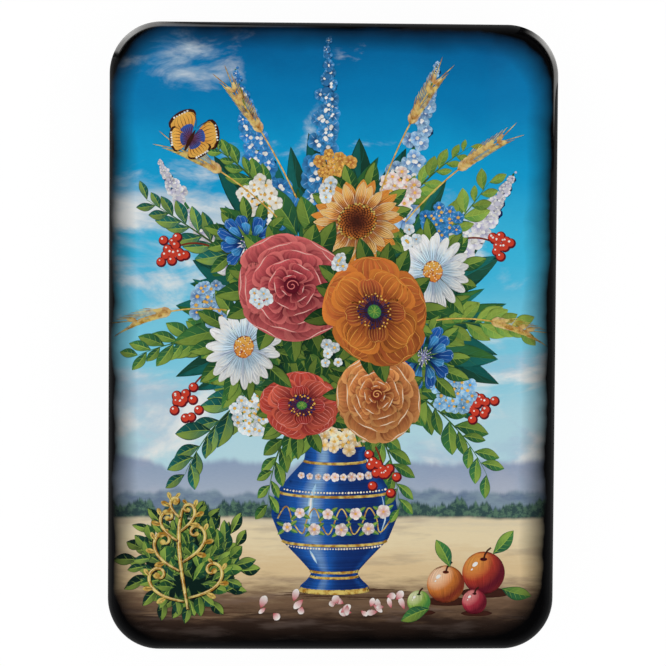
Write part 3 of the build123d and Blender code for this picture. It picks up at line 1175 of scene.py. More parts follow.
# %% Rings of petals
def ring(piece, centre, radius, count, wide, root, tip, edge, start=0.0, inner=0.1,
         tilt=(1.0, 0.0), p=1.6, q=0.55, frill=0.03, notch=0.0, streaks=5, line=0.7, power=1.2,
         light=None, lines=True):
    """One ring of petals with its brush marks and lines. Its tone runs from root to tip by
    t^power, times 1 + 0.22 * cos(angle - light's angle)."""
    angle = start + np.arange(count) * 2 * math.pi / count + chance(-0.07, 0.07, count)
    angle = angle[np.argsort(np.arange(count) % 3, kind="stable")]
    root_at = np.asarray(centre) + inner * radius * heading(angle)
    length = radius * (1 - inner) * chance(0.92, 1.06, count)
    shape = Petals(root_at, angle, length, radius * wide * chance(0.92, 1.08, count),
                   chance(-0.07, 0.07, count), p, q, notch, frill, tilt, centre)
    lit = (1 + 0.22 * np.cos(angle - 2.2))[:, None, None, None]
    tone = petal_tone(count, 11, 7, root, tip, edge, power) * lit
    base = lay(piece, shape.plate(11, 7), tone, room=3)
    sides, many = even(-0.76, 0.76, streaks), streaks * count
    t = even(0.22, 0.96, 7)
    local = blend(root, tip, t**power)[None, :, None] * np.repeat(lit, streaks, 0)
    broad = shape.lines(sides, 0.22, 0.96, 0.62 * radius * wide / streaks, 7, 0.95)
    lay(piece, broad, local * chance(0.78, 1.25, (many, 1, 1, 1)), over=base)
    glow = edge if light is None else light
    lay(piece, shape.edge(half=0.09 * line), blend(tip, glow, 0.8), over=base, level=2)
    if lines:
        dark = shape.lines(sides * 0.9, 0.03, 0.55, radius * 0.011, 5)
        lay(piece, dark, blend(root, tip, 0.1) * 0.6, over=base, level=2)
        bright = blend(tip, glow, chance(0.15, 0.55, (many, 1, 1)))
        lay(piece, shape.lines(sides + 0.07, 0.5, 0.96, radius * 0.009, 5, 0.93), bright, over=base,
            level=2)


print(len(strokes), "sets of marks")

# %% [markdown]
# The middle of a flower is a pad of paint with many small dabs. Seeds in a real head are each
# turned by the golden angle, so they fill a disc evenly. A dab has only six sides, as there are
# thousands.

# %% Pads, dabs and seeds
golden_angle = 2.39996


def disc(piece, centre, radius, tone, tilt=(1.0, 0.0)):
    """Round pads of paint: x = sin(t * pi / 2), y = root(1 - x^2) * s, times the radius."""
    middle = np.atleast_2d(np.asarray(centre, float))
    t, s = even(-1, 1, 9)[None, :, None], even(-1, 1, 7)[None, None, :]
    x = np.sin(t * math.pi / 2)
    y = np.sqrt(np.clip(1 - x * x, 0.0008, 1)) * s
    grid = aslant(pair(x * each(radius), y * each(radius)), tilt)
    lay(piece, middle[:, None, None] + grid, tone)


def dots(piece, places, radius, tone, gilt=0.0):
    """Many small round dabs of six sides, each its own size."""
    n = len(places)
    size = (np.broadcast_to(radius, (n,)) * chance(0.75, 1.25, n))[:, None, None]
    t, s = even(-1, 1, 4)[None, :, None], even(-1, 1, 3)[None, None, :]
    grid = places[:, None, None] + pair(t * size, np.sqrt(np.clip(1 - t * t, 0.09, 1)) * s * size)
    if np.ndim(tone) == 1:
        tone = tone * chance(0.8, 1.2, (n, 1, 1, 1))
    lay(piece, grid, tone, gilt=gilt)


def scatter(centre, radius, count, tilt=(1.0, 0.0), power=0.5, inner=0.0):
    """Points in a disc by the sunflower rule: radius by the square root, angle by 137.5 degrees."""
    i = np.arange(count) + 0.5
    r = radius * (inner + (1 - inner) * (i / count) ** power)
    return np.asarray(centre) + aslant(r[:, None] * heading(i * golden_angle), tilt)


def threads(centre, ends, parts=3):
    """Straight paths from a flower's middle to each end."""
    return between(np.stack([ends * 0 + centre, ends], 1), 1, parts)


print("seeds of a head, nearest first", scatter((0, 0), 5, 3).round(2).tolist())

# %% [markdown]
# A poppy has a few wide frilled petals, like crumpled silk, round a dark heart with a wreath of
# stamens and a green seed head. Two rings of petals don't look full, so a third and smaller one
# stands up round the heart.

# %% Poppy
def poppy(piece, centre, radius, tilt=(0.9, 0.6), deep=brick, body=terracotta, light=orange,
          rim=amber):
    """Three rings of four or five frilled petals, stamens, and a seed head with its rays."""
    look = dict(tilt=tilt, frill=0.11, q=0.5, p=1.9, streaks=7, light=rim)
    disc(piece, centre, radius * 0.86, blend(deep, body, 0.95), tilt)
    for size, count, wide, low, tip, turn, power in (
            (1.0, 5, 0.58, deep, blend(body, light, 0.35), 0.3, 1.5),
            (0.86, 4, 0.56, deep, blend(body, light, 0.75), 0.9, 1.9),
            (0.6, 4, 0.42, umber, body, 0.1, 1.6)):
        ring(piece, centre, radius * size, count, wide, low, tip, light, turn, 0.03, power=power, **look)
    disc(piece, centre, radius * 0.2, umber, tilt)
    stamens = scatter(centre, radius * 0.34, 44, tilt, 0.5, 0.62)
    lay(piece, ribbon(threads(centre, stamens), 0.05), ink_blue)
    dots(piece, stamens, 0.2, blend(ink_blue, amber, rng.integers(0, 2, 44))[:, None, None])
    disc(piece, centre, radius * 0.13, leaf_green, tilt)
    rays = scatter(centre, radius * 0.11, 9, tilt, 0.01, 0.9)
    lay(piece, ribbon(threads(centre, rays, 2), 0.06), lime)


print("a poppy has", 5 + 4 + 4, "petals")

# %% [markdown]
# A garden rose is many short cupped petals that climb to a tight middle. Only their tips show, so
# the tone stays deep up to two thirds of a petal and then rises steeply to a light rim. Each ring
# is smaller, turned a little, and shifted up.

# %% Rose
rose_rings = ((1.0, 6, 0.56), (0.83, 5, 0.58), (0.68, 5, 0.56), (0.54, 4, 0.62),
              (0.41, 4, 0.58), (0.30, 3, 0.66), (0.20, 3, 0.60))


def rose_bloom(piece, centre, radius, tilt=(0.92, 1.2), deep=wine, body=rose,
               light=(0.80, 0.20, 0.18), rim=(0.90, 0.60, 0.52)):
    """Seven rings of cupped petals, each tighter, and a coil of radius * (1 - 0.85 * share)."""
    turn = 0.0
    disc(piece, centre, radius * 0.86, blend(deep, body, 0.95), tilt)
    for step, (size, count, wide) in enumerate(rose_rings):
        share = step / 6
        at = np.asarray(centre) + np.array([-0.03, 0.05]) * radius * share
        ring(piece, at, radius * size, count, wide, deep, blend(body, light, 0.55 - 0.35 * share),
             light, turn, 0.1, tilt=tilt, p=2.4, q=0.42, frill=0.06, streaks=9,
             line=1.2, power=3.8 - 1.3 * share, light=rim, lines=False)
        turn += 0.65
    disc(piece, at, radius * 0.14, deep)
    coil = even(0, 1, 30)
    reach = (radius * 0.11 * (1 - coil * 0.85))[:, None]
    path = at + reach * pair(np.cos(8.5 * coil), np.sin(8.5 * coil) * tilt[0])
    lay(piece, ribbon(path[None], 0.1), light)


print("a rose has", sum(count for _, count, _ in rose_rings), "petals")

# %% [markdown]
# A daisy is a wheel of narrow white petals, notched at the tip and blue in their shade, round a
# domed gold button. The dome is painted light: its dabs are lighter towards the top.

# %% Daisy
def daisy(piece, centre, radius, tilt, petals=19):
    """Two rings of narrow petals and a button of 70 seeds, lighter the higher they lie as painted light.
    """
    look = dict(tilt=tilt, p=1.5, q=0.5, frill=0.0, notch=0.10, streaks=3, line=0.6)
    low = blend(pale_blue, lilac, 0.4)
    ring(piece, centre, radius, petals, 0.125, low, chalk, chalk, 0.1, 0.2, **look)
    ring(piece, centre, radius * 0.86, petals - 4, 0.13, pale_blue, chalk, chalk, 0.3, 0.2, **look)
    disc(piece, centre, radius * 0.27, terracotta, tilt)
    spots = scatter(centre, radius * 0.25, 70, tilt)
    # Painted light on the button's dome: seeds are lighter the higher they lie.
    dome_light = np.clip((spots[:, 1] - centre[1]) / (radius * 0.25) * 0.5 + 0.5, 0, 1)
    dots(piece, spots, radius * 0.032, blend(orange, amber, dome_light)[:, None, None])
    dots(piece, spots[::3] + [0.0, 0.06], radius * 0.017, cream)


print("a daisy has", 19 + 15, "petals")

# %% [markdown]
# A sunflower's petals are pointed and stand in two crowded rings. Its head is nearly half as wide
# as the flower, dark in the middle, with a wreath of gold dust round it.

# %% Sunflower
def sunflower(piece, centre, radius, tilt):
    """Two rings of pointed petals round a head of seeds whose tone follows (distance / radius)^3."""
    look = dict(tilt=tilt, p=1.25, q=0.8, frill=0.0, streaks=5, line=0.7)
    ring(piece, centre, radius, 21, 0.13, brick, orange, amber, 0.0, 0.25, light=amber, **look)
    ring(piece, centre, radius * 0.9, 19, 0.13, terracotta, amber, cream, 0.2, 0.25, light=cream, **look)
    disc(piece, centre, radius * 0.42, umber, tilt)
    spots = scatter(centre, radius * 0.41, 170, tilt)
    far = np.linalg.norm(spots - centre, axis=1) / (radius * 0.41)
    dots(piece, spots, radius * 0.024, blend(blend(umber, brick, far), orange, far**3)[:, None, None])
    wreath = scatter(centre, radius * 0.42, 44, tilt, 0.5, 0.86)
    dots(piece, wreath, radius * 0.022, amber, gilt=1.0)


print("a sunflower has", 21 + 19, "petals and 170 seeds")

# %% [markdown]
# A cornflower is a ring of trumpets that widen to a torn edge. A high power p keeps the petal's
# root narrow, and a strong frill tears its edge. Lilac needles fill its middle.

# %% Cornflower
def cornflower(piece, centre, radius, tilt=(0.85, 1.0)):
    """Two rings of frilled trumpets and a tuft of needles."""
    look = dict(tilt=tilt, p=3.2, q=0.7, frill=0.16, streaks=3, line=0.8, light=pale_blue)
    ring(piece, centre, radius, 11, 0.20, ink_blue, cobalt, azure, 0.0, 0.1, **look)
    ring(piece, centre, radius * 0.75, 9, 0.19, ink_blue, azure, azure, 0.3, 0.1, **look)
    needles = scatter(centre, radius * 0.3, 26, tilt)
    lay(piece, ribbon(threads(centre, needles), 0.09), lilac)
    dots(piece, needles, 0.12, chalk)


print("a cornflower has", 11 + 9, "trumpets")

# %% [markdown]
# Forget-me-nots and florets fill the gaps. They are too small for brush marks of their own, so a
# whole cluster is worked out at once: five round petals each, one light line, and an eye.

# %% Small blooms
def small_blooms(piece, places, radius, body, tip, eye=amber, petals=5):
    """Florets of round petals with an eye, drawn many at a time."""
    n = len(places)
    size = np.repeat(np.broadcast_to(radius, (n,)) * chance(0.8, 1.2, n), petals)
    angle = (chance(0, 6.28, (n, 1)) + np.arange(petals) * 2 * math.pi / petals).ravel()
    shape = Petals(np.repeat(places, petals, 0), angle, size, size * 0.5, p=1.7, q=0.5)
    share = chance(0, 1, (n, 1)).repeat(petals, 1).reshape(-1, 1, 1)
    tone = petal_tone(n * petals, 5, 3, body, tip, vary=0.18) * (0.75 + 0.5 * share[..., None])
    base = lay(piece, shape.plate(5, 3), tone, room=2)
    lay(piece, shape.lines([0.0], 0.35, 0.9, 0.09, 4), blend(tip, chalk, 0.6 * share), over=base)
    dots(piece, places, np.asarray(radius) * 0.24, eye)


print(len(strokes), "sets of marks")

# %% [markdown]
# The bouquet is built from the back: dark leaves and tall spires, then the vase, then lighter
# leaves and small blooms, and the big flowers last. The first layer is its shade on the sky: long
# soft leaves in greyed greens that hardly stand out.

# %% Back layer
def leaf_fan(piece, count, spread, reach, length, width, bend, dark, light, rib=lime):
    """A fan of leaves round the heart that reaches spread radians below the level on both sides."""
    angle = even(-spread, math.pi + spread, count) + chance(-0.1, 0.1, count)
    root = heart + chance(*reach, (count, 1)) * heading(angle)
    leaves(piece, root, angle, chance(*length, count), chance(*width, count),
           chance(-bend, bend, count), dark, light, rib=rib)


for middle, size in (((0, 6), 17), ((-12, 2), 11), ((12, 2), 11), ((0, -12), 10)):
    disc("back_leaves", middle, size, night_green)
leaf_fan("back_leaves", 34, 0.5, (6, 16), (20, 30), (2.4, 3.6), 0.2, night_green, deep_green, teal)
leaf_fan("back_leaves", 30, 0.2, (10, 20), (14, 23), (2.0, 3.2), 0.25, deep_green, teal, leaf_green)
print(len(strokes), "sets of marks")

# %% [markdown]
# Larkspurs are tall spikes. Florets crowd round a stem, big below and smaller up to the buds, and
# each throws a dark dab of painted shadow to its lower right, which parts it from its neighbours.

# %% Spires
def spire(piece, foot, angle, length, curl, body, tip, wide=4.6, count=58):
    """A flower spike: florets lie off the stem by a chance side times wide * (1.02 - height)."""
    t, turn, path = growth(foot, angle, length, curl, 30)
    lay(piece, ribbon(path[None], (0.5 - 0.3 * t)[None]), blend(deep_green, leaf_green, t)[None, :, None])
    at = np.sort(chance(0.12, 1.0, count))
    where = pair(np.interp(at, t, path[:, 0]), np.interp(at, t, path[:, 1]))
    side = chance(-1, 1, count) * wide * (1.02 - at)
    bend = turn[0] + curl * at
    where = where + side[:, None] * pair(-np.sin(bend), np.cos(bend))
    size = 0.55 + 2.0 * (1 - at) ** 0.7
    # A painted shadow of each floret, to its lower right.
    dots(piece, where + [0.25, -0.3], size * 0.75, ink_blue)
    small_blooms(piece, where, size, body, tip, chalk)
    buds = path[-9:] + chance(-0.5, 0.5, (9, 2))
    dots(piece, buds, even(0.7, 0.3, 9), blend(body, tip, np.full((1, 1, 1), 0.5)))


spire("spires", (-10, 20), 1.92, 40, -0.10, cobalt, azure)
spire("spires", (-2, 24), 1.60, 41, -0.08, ink_blue, azure, 4.2)
spire("spires", (10, 22), 1.18, 40, 0.16, cobalt, pale_blue, 4.6)
spire("spires", (-18, 12), 2.38, 33, -0.30, lilac, chalk, 3.8, 46)
spire("spires", (20, 12), 0.72, 31, 0.35, lilac, chalk, 3.6, 44)
print(len(strokes), "sets of marks")

# %% [markdown]
# The vase is blue enamel. It was turned, so one curve of half width by height gives its outline,
# and every level line on it sags in the middle, as a bowl's rim does seen from above. Strokes read
# from that surface follow its roundness.

# %% Shape and light of the vase
vase_foot, vase_height = np.array([0.5, -56.5]), 34.0
vase_profile = np.array([
    [0, 7.6], [0.03, 7.9], [0.07, 6.2], [0.12, 5.0], [0.2, 7.4], [0.34, 12.0], [0.5, 14.2],
    [0.64, 13.4], [0.76, 10.0], [0.86, 6.9], [0.93, 6.6], [0.97, 8.2], [1.0, 9.0]])


def vase_half(t):
    """Half width of the vase by height, from 0 at the foot to 1 at the lip, as a smooth curve."""
    knots, widths = vase_profile.T
    fine = even(0, 1, 400)
    rough = np.pad(np.interp(fine, knots, widths), 12, "edge")
    return np.interp(t, fine, np.convolve(rough, np.hanning(25) / np.hanning(25).sum(), "valid"))


def vase_at(t, s, sag=1.6):
    """A point on the vase: height t, side s, with rings that sag in the middle like ellipses."""
    half = vase_half(t)
    y = vase_foot[1] + vase_height * t - sag * np.sqrt(np.clip(1 - s * s, 0, 1)) * half / 14
    return pair(vase_foot[0] + half * s, y)


def vase_light(s, t):
    """How light the vase is: bright a third of the way across, dark at both sides, and with a
    thin reflected light near the right edge."""
    main = np.exp(-((s + 0.38) / 0.30) ** 2)
    back = np.exp(-((s - 0.86) / 0.10) ** 2) * 0.35
    return np.clip(0.10 + 0.85 * main + back - 0.12 * s, 0, 1) * (0.75 + 0.25 * t)


def enamel(light, glow=1.0):
    """Tone of the blue enamel: ink blue to cobalt up to half light, and on to pale blue."""
    deep = blend(ink_blue, cobalt, np.clip(light * 2, 0, 1))
    return blend(deep, pale_blue, np.clip(light * 1.7 - 1, 0, 1) * glow)


print("vase half width at foot, belly and lip", vase_half(np.array([0, 0.5, 1])).round(1))

# %% [markdown]
# It stands in its own soft shadow, which ties it to the ground. The body is one plate with fine
# level strokes over it, and three glints that are brightest in their middle.

# %% Shadow and body of the vase
def ground_shadow(piece, middle, reach, count=46):
    """Level strokes in umber that grow shorter towards the near and far side of an ellipse."""
    share = chance(-1, 1, count)
    place = np.asarray(middle) + pair(reach * 0.17 * chance(-1, 1, count), reach * 0.1 * share)
    long = (reach * np.sqrt(1.05 - share**2) * chance(0.6, 1.0, count))[:, None]
    path = place[:, None] + pair(long * even(-1, 1, 13), 0.12 * np.sin(even(0, 6, 13))[None])
    lay(piece, ribbon(path, 0.28 * np.sin(even(0.1, 3.04, 13))[None]),
        blend((0.22, 0.14, 0.08), umber, chance(0.1, 0.8, (count, 1, 1))))


ground_shadow("vase", vase_foot + [3.5, -0.7], 15)
t, s = even(0, 1, 61)[:, None], even(-1, 1, 33)[None, :]
tone = enamel(vase_light(s, t) + 0 * t, 0.8)
# The last row is the lip's far side, and the mouth between it and the near side is ink blue: painted
# shade inside the vase.
body = np.concatenate([vase_at(t, s), vase_at(t[-1:], s, 0.0)])
tone = np.concatenate([tone, tone[-1:] * 0 + ink_blue])
lay("vase", body[None, :, ::-1], tone[None, :, ::-1])
t = even(0.02, 0.98, 84)[:, None] + chance(-0.003, 0.003, (84, 1))
s = even(-0.96, 0.96, 25)[None] + 0 * t
body = enamel(vase_light(s, t))[:, :, None]
lay("vase", ribbon(vase_at(t, s), 0.11), body * chance(0.72, 1.3, (84, 1, 1, 1)))
for at, low, high, half in ((-0.40, 0.47, 0.74, 0.62), (-0.52, 0.20, 0.30, 0.30),
                            (0.80, 0.40, 0.66, 0.20)):
    glint = vase_at(even(low, high, 15), np.full(15, at))[None]
    lay("vase", ribbon(glint, (half * np.sin(even(0.1, 3.0, 15)))[None]), pale_blue)
    core = (half * 0.45 * np.sin(even(0.1, 3.0, 9)))[None]
    lay("vase", ribbon(glint[:, 3:-3], core), chalk)
print(len(strokes), "sets of marks")

# %% [markdown]
# Gilt bands part the vase into zones, with rows of cream beads and a garland round the belly: a
# wave of gold with leaves and a blossom in each of its bays. All are read from the vase's surface,
# so they bend round it.

# %% Bands and garland of the vase
gilt_bands = {0.015: 0.55, 0.10: 0.3, 0.135: 0.3, 0.335: 0.3, 0.66: 0.3, 0.86: 0.3, 0.985: 0.45}
bay = 14

for height, half in gilt_bands.items():
    s = even(-0.995, 0.995, 33)
    lay("vase", ribbon(vase_at(np.full(33, height), s)[None], half),
        blend(umber, amber, vase_light(s, height))[None, :, None], gilt=1.0)
for height in (0.312, 0.685):
    dots("vase", vase_at(np.full(34, height), even(-0.93, 0.93, 34)), 0.22, cream)
s = even(-0.9, 0.9, 160)
lay("vase", ribbon(vase_at(0.5 + 0.085 * np.sin(s * bay), s)[None], 0.15), amber, gilt=1.0)
side = (np.arange(8) - 3.5) * 0.224
spots = vase_at(0.5 - 0.052 * np.sin(side * bay), side)
leaves("vase", np.repeat(spots, 4, 0), np.tile([0.5, 2.6, 3.7, 5.7], 8), 2.7, 0.5, 0.1, teal,
       leaf_green, 2)
small_blooms("vase", spots, 1.35, blush, chalk, amber)
small_blooms("vase", vase_at(np.full(9, 0.78), even(-0.8, 0.8, 9)), 0.9, blush, chalk, amber)
print(len(strokes), "sets of marks")

# %% [markdown]
# Twigs and leaves fall over the vase's lip and spread to both sides. Yellow-green sprays catch the
# light on the right, and teal ones keep to the left and below. Loose leaves close the gaps.

# %% Middle layer
for start, turn, length, curl, count, leaf, dark, light in (
        ((10, -8), -0.35, 34, -0.75, 17, 9.0, deep_green, leaf_green),
        ((-10, -8), 3.5, 33, 0.8, 17, 9.0, night_green, teal),
        ((18, 2), 0.25, 24, -0.45, 15, 8.0, leaf_green, lime),
        ((18, 16), 0.75, 25, 0.2, 15, 7.0, leaf_green, lime),
        ((-20, 0), 3.05, 24, 0.5, 15, 8.0, deep_green, leaf_green),
        ((-20, 16), 2.5, 26, 0.1, 15, 7.0, deep_green, teal),
        ((6, -14), -0.9, 26, -0.6, 13, 7.0, deep_green, leaf_green),
        ((-6, -14), 4.05, 25, 0.6, 13, 7.0, night_green, leaf_green),
        ((14, 28), 0.95, 22, -0.4, 13, 5.5, leaf_green, lime),
        ((-14, 30), 2.15, 20, 0.5, 13, 5.5, deep_green, leaf_green)):
    spray("sprays", start, turn, length, curl, count, leaf, dark, light)
spot = scatter((0, -2), 20, 70, (0.9, 1.57))
leaves("sprays", spot, chance(0, 6.28, 70), chance(7, 11, 70), chance(1.4, 2.1, 70),
       chance(-0.2, 0.2, 70), night_green, leaf_green)
leaf_fan("sprays", 26, 0.9, (12, 22), (9, 16), (2.0, 3.2), 0.3, deep_green, leaf_green)
print(len(strokes), "sets of marks")

# %% [markdown]
# Rowan twigs hang out of the bouquet. A berry is painted in three touches: a dark pad, a red one
# set a little to the upper left, and a white glint. The dark pad shows at the lower right as painted
# shade. Clusters of florets stand between the twigs.

# %% Berries and small flowers
def berry_twig(piece, start, turn, length, curl, count, size, deep, body):
    """A hanging twig with round berries at its end."""
    path = growth(start, turn, length, curl, 20)[2]
    lay(piece, ribbon(path[None], 0.2), brick)
    places = path[-1] + rng.normal(0, 1, (count, 2)) * size * 1.5
    # Dark pad, then the red body to its upper left, which leaves painted shade at the lower right, then a
    # painted glint.
    disc(piece, places, size, deep)
    disc(piece, places + [-0.12 * size, 0.14 * size], size * 0.78, body)
    dots(piece, places + [-0.35 * size, 0.38 * size], size * 0.2, chalk)


for start, turn, length, curl in (
        ((24, -6), -0.3, 12, -1.0), ((-25, -6), 3.5, 12, 1.0), ((28, 22), 0.3, 9, -0.9),
        ((-27, 20), 2.7, 9, 1.0), ((8, -22), -0.9, 9, -0.6)):
    berry_twig("small_flowers", start, turn, length, curl, 13, 1.15, wine, (0.62, 0.045, 0.02))
for middle, spread, count, body, tip, size in (
        ((-27, 8), 4.5, 26, cobalt, pale_blue, 1.5), ((27, -12), 4.2, 24, azure, pale_blue, 1.4),
        ((14, 33), 4.0, 24, blush, chalk, 1.4), ((-17, 31), 4.0, 24, cream, chalk, 1.4),
        ((-18, -17), 4.2, 26, pale_blue, chalk, 1.4), ((24, 26), 3.6, 20, cobalt, azure, 1.4),
        ((2, -21), 4.5, 24, amber, cream, 1.3), ((0, 38), 3.5, 20, terracotta, amber, 1.4)):
    places = scatter(middle, spread, count) + chance(-0.5, 0.5, (count, 2))
    small_blooms("small_flowers", places, size, body, tip)
print(len(strokes), "sets of marks")

# %% [markdown]
# The big flowers sit in an uneven ring round the middle, warm ones between cool ones. Each is laid
# on a dark cushion of leaves, painted shade that parts it from its neighbour.

# %% Front layer: the big flowers
def bed(centre, radius, count=12, piece="flowers"):
    """A cushion of dark leaves as painted shade under a flower, that point outwards, from half the
    radius.
    """
    angle = np.arange(count) * 2 * math.pi / count + chance(-0.2, 0.2, count)
    root = np.asarray(centre) + radius * 0.5 * heading(angle)
    leaves(piece, root, angle, radius * chance(0.65, 0.9, count), radius * 0.17, 0.1, night_green,
           (0.035, 0.15, 0.035))


bed((-19, 21), 8)
cornflower("flowers", (-19, 21), 7.2)
bed((22, 15), 9)
daisy("flowers", (22, 15), 9.0, (0.9, 0.2))
bed((5, 26), 10)
sunflower("flowers", (5, 26), 10.5, (0.9, 1.9))
bed((-7, -15), 9)
poppy("flowers", (-7, -15), 9.0, (0.8, 1.5), wine, (0.46, 0.03, 0.025), (0.72, 0.13, 0.07), blush)
bed((19, -4), 9)
cornflower("flowers_front", (20, -4), 7.6, (0.85, 2.6))
bed((10, -13), 9, piece="flowers_front")
rose_bloom("flowers_front", (10, -13), 10.0, (0.9, 0.3), brick, (0.60, 0.15, 0.03),
           (0.86, 0.42, 0.14), cream)
bed((-19, -1), 10, piece="flowers_front")
daisy("flowers_front", (-20, -2), 9.4, (0.88, 2.9))
bed((-9, 11), 13, 14, piece="flowers_front")
rose_bloom("flowers_front", (-9, 11), 13.0)
bed((9, 6), 12, 14, piece="poppy_front")
poppy("poppy_front", (9, 6), 12.4)
places = np.repeat(np.array([[-1.0, -3.5], [0.5, 17.5], [-17, 9.5], [16.5, 23], [-2, 33]]), 5, 0)
small_blooms("poppy_front", places + chance(-2.2, 2.2, (25, 2)), 1.3, pale_blue, chalk)
print(len(strokes), "sets of marks")

# %% [markdown]
# Gold comes last, as on the real boxes: leaf gold lines are laid over the dry paint. A scroll turns
# faster towards its end, like a fern's tip. A painted shadow line to its lower right and a painted
# highlight to its upper left make flat gold look round.

# %% Gold scrolls
gold_light = (1.0, 0.86, 0.48)


def scroll(piece, start, turn, length, curl, half=0.36, gilt=1.0, tone=amber, points=40):
    """A line whose turning grows towards its end: angle = turn + curl * t^2.2."""
    t = even(0, 1, points)
    bend = turn + curl * t**2.2
    step = heading(bend) * length / points * (1.25 - t[:, None] * 0.75)
    path = np.asarray(start) + np.cumsum(step, 0)
    width = (half * (0.55 + 0.45 * np.sin(t * 2.6 + 0.3)))[None]
    if gilt:
        # A painted shadow line under the gold, to its lower right.
        lay(piece, ribbon(path[None] + [0.16, -0.2], width * 1.05), umber * 0.5)
    line = lay(piece, ribbon(path[None], width), tone, gilt=gilt, room=2)
    if gilt:
        # A painted highlight line on the gold, to its upper left.
        lay(piece, ribbon(path[None] + [-0.08, 0.1], width * 0.17), gold_light, over=line)
    return path


print("a scroll of 20 mm ends in a bend of", round(20 / 2 / 6 / 2.2, 1), "mm")

# %% [markdown]
# Ears of wheat fan out of the bouquet. The grains sit in pairs up the last part of a stalk, each
# with a long awn. Both are petals, one short and full, one long and thin.

# %% Wheat
def wheat(piece, foot, angle, length, curl):
    """An ear of wheat: nine pairs of grains on the last ten points of a stalk, each with its awn."""
    t, turn, path = growth(foot, angle, length, curl, 24)
    lay(piece, ribbon(path[None], 0.16), amber, gilt=0.6)
    at = np.repeat(even(14, 23, 9).astype(int), 2)
    out = turn[at] + np.tile([-1.0, 1.0], 9) * 0.42
    grain = Petals(path[at], out, 2.5, 0.55, p=1.2, q=0.7)
    lay(piece, grain.plate(5, 3), petal_tone(18, 5, 3, orange, cream), gilt=0.55)
    awn = Petals(path[at], out * 0.6 + turn[at] * 0.4, 6.5, 0.1, p=1.0, q=0.2)
    lay(piece, awn.plate(4, 3), amber, gilt=1.0)


for foot, turn, length, curl in (
        ((-12, 26), 2.35, 26, 0.35), ((-8, 30), 2.0, 27, 0.2), ((15, 25), 0.9, 27, -0.35),
        ((10, 32), 1.25, 26, -0.25), ((22, 4), 0.15, 20, -0.5), ((-23, 6), 3.0, 20, 0.5)):
    wheat("gold_work", foot, turn, length, curl)
print(len(strokes), "sets of marks")

# %% [markdown]
# In one lower corner a bush carries a tree of scrolls. The bush is three layers of leaves, dark to
# light, each smaller than the one below, because gold only shines on a dark ground.

# %% Bush
bush = np.array([-32.0, -50.0])
bush_green = (0.03, 0.13, 0.03)

ground_shadow("corner_leaves", bush + [2.5, -11.3], 13.5, 60)
disc("corner_leaves", bush, 9.5, pitch_green)
for size, count, dark, light in ((11.5, 64, pitch_green, night_green),
                                 (10.0, 50, night_green, deep_green),
                                 (9.0, 34, night_green, bush_green)):
    spot = scatter(bush, size, count, (0.86, 1.57)) + chance(-0.8, 0.8, (count, 2))
    out = np.arctan2(spot[:, 1] - bush[1] + 5, (spot[:, 0] - bush[0]) * 0.6)
    out = out + chance(-0.9, 0.9, count)
    leaves("corner_leaves", spot, out, chance(3.6, 5.6, count), chance(0.95, 1.4, count), 0.1,
           dark, light, 3)
print(len(strokes), "sets of marks")

# %% [markdown]
# The tree is one stem with scrolls that leave it to the right and the left in turn, each with four
# gold buds on its outer side and a ball at its end.

# %% Tree of scrolls
stem = scroll("gold_work", bush + [0.0, -11.5], 1.75, 27, -0.5, 0.42)
for at, turn, length, curl in ((2, 1.35, 21, 7.2), (3, -1.35, 21, -7.2), (11, 1.05, 19, 6.6),
                               (14, -1.05, 18, -6.6), (22, 0.95, 14, 6.4), (26, -0.95, 13, -6.4),
                               (33, 0.8, 9, 6.0)):
    path = scroll("gold_work", stem[at], 1.6 + turn, length, -curl, 0.36, points=44)
    bud_at = np.array([7, 14, 21, 28])
    out = np.arctan2(*(path[bud_at + 1] - path[bud_at]).T[::-1]) + np.sign(turn) * 0.9
    buds = Petals(path[bud_at], out, [2.6, 2.4, 2.0, 1.5], [0.62, 0.58, 0.5, 0.4])
    bud = lay("gold_work", buds.plate(7, 3), amber, gilt=1.0, room=2)
    lay("gold_work", buds.lines([0.0], 0.1, 0.8, 0.06, 5), umber, over=bud)
    dots("gold_work", path[-1:], 0.62, amber, gilt=1.0)
print(len(strokes), "sets of marks")

# %% [markdown]
# On the right of the yard lie ripe fruit. An apple is painted as a lit ball: the tone of each point
# follows the angle between its surface and the light. Fine strokes run from stalk to blossom end,
# and two glints and a stalk finish it.

# %% Fruit
def round_tone(x, y, deep, body, light):
    """Tone of a ball of radius 1 lit from the upper left: shade by the angle to the light, and a
    weak reflected light at its lower right."""
    z = np.sqrt(np.clip(1 - x * x - y * y, 0, 1))
    lit = np.clip(-0.48 * x + 0.55 * y + 0.68 * z, 0, 1)
    back = np.clip(0.6 * x - 0.7 * y - 0.55, 0, 1) * 0.8
    tone = blend(deep, body, np.clip(lit * 1.35 - 0.1 + back, 0, 1))
    return blend(tone, light, np.clip(lit * 1.7 - 0.95, 0, 1) * 0.75)


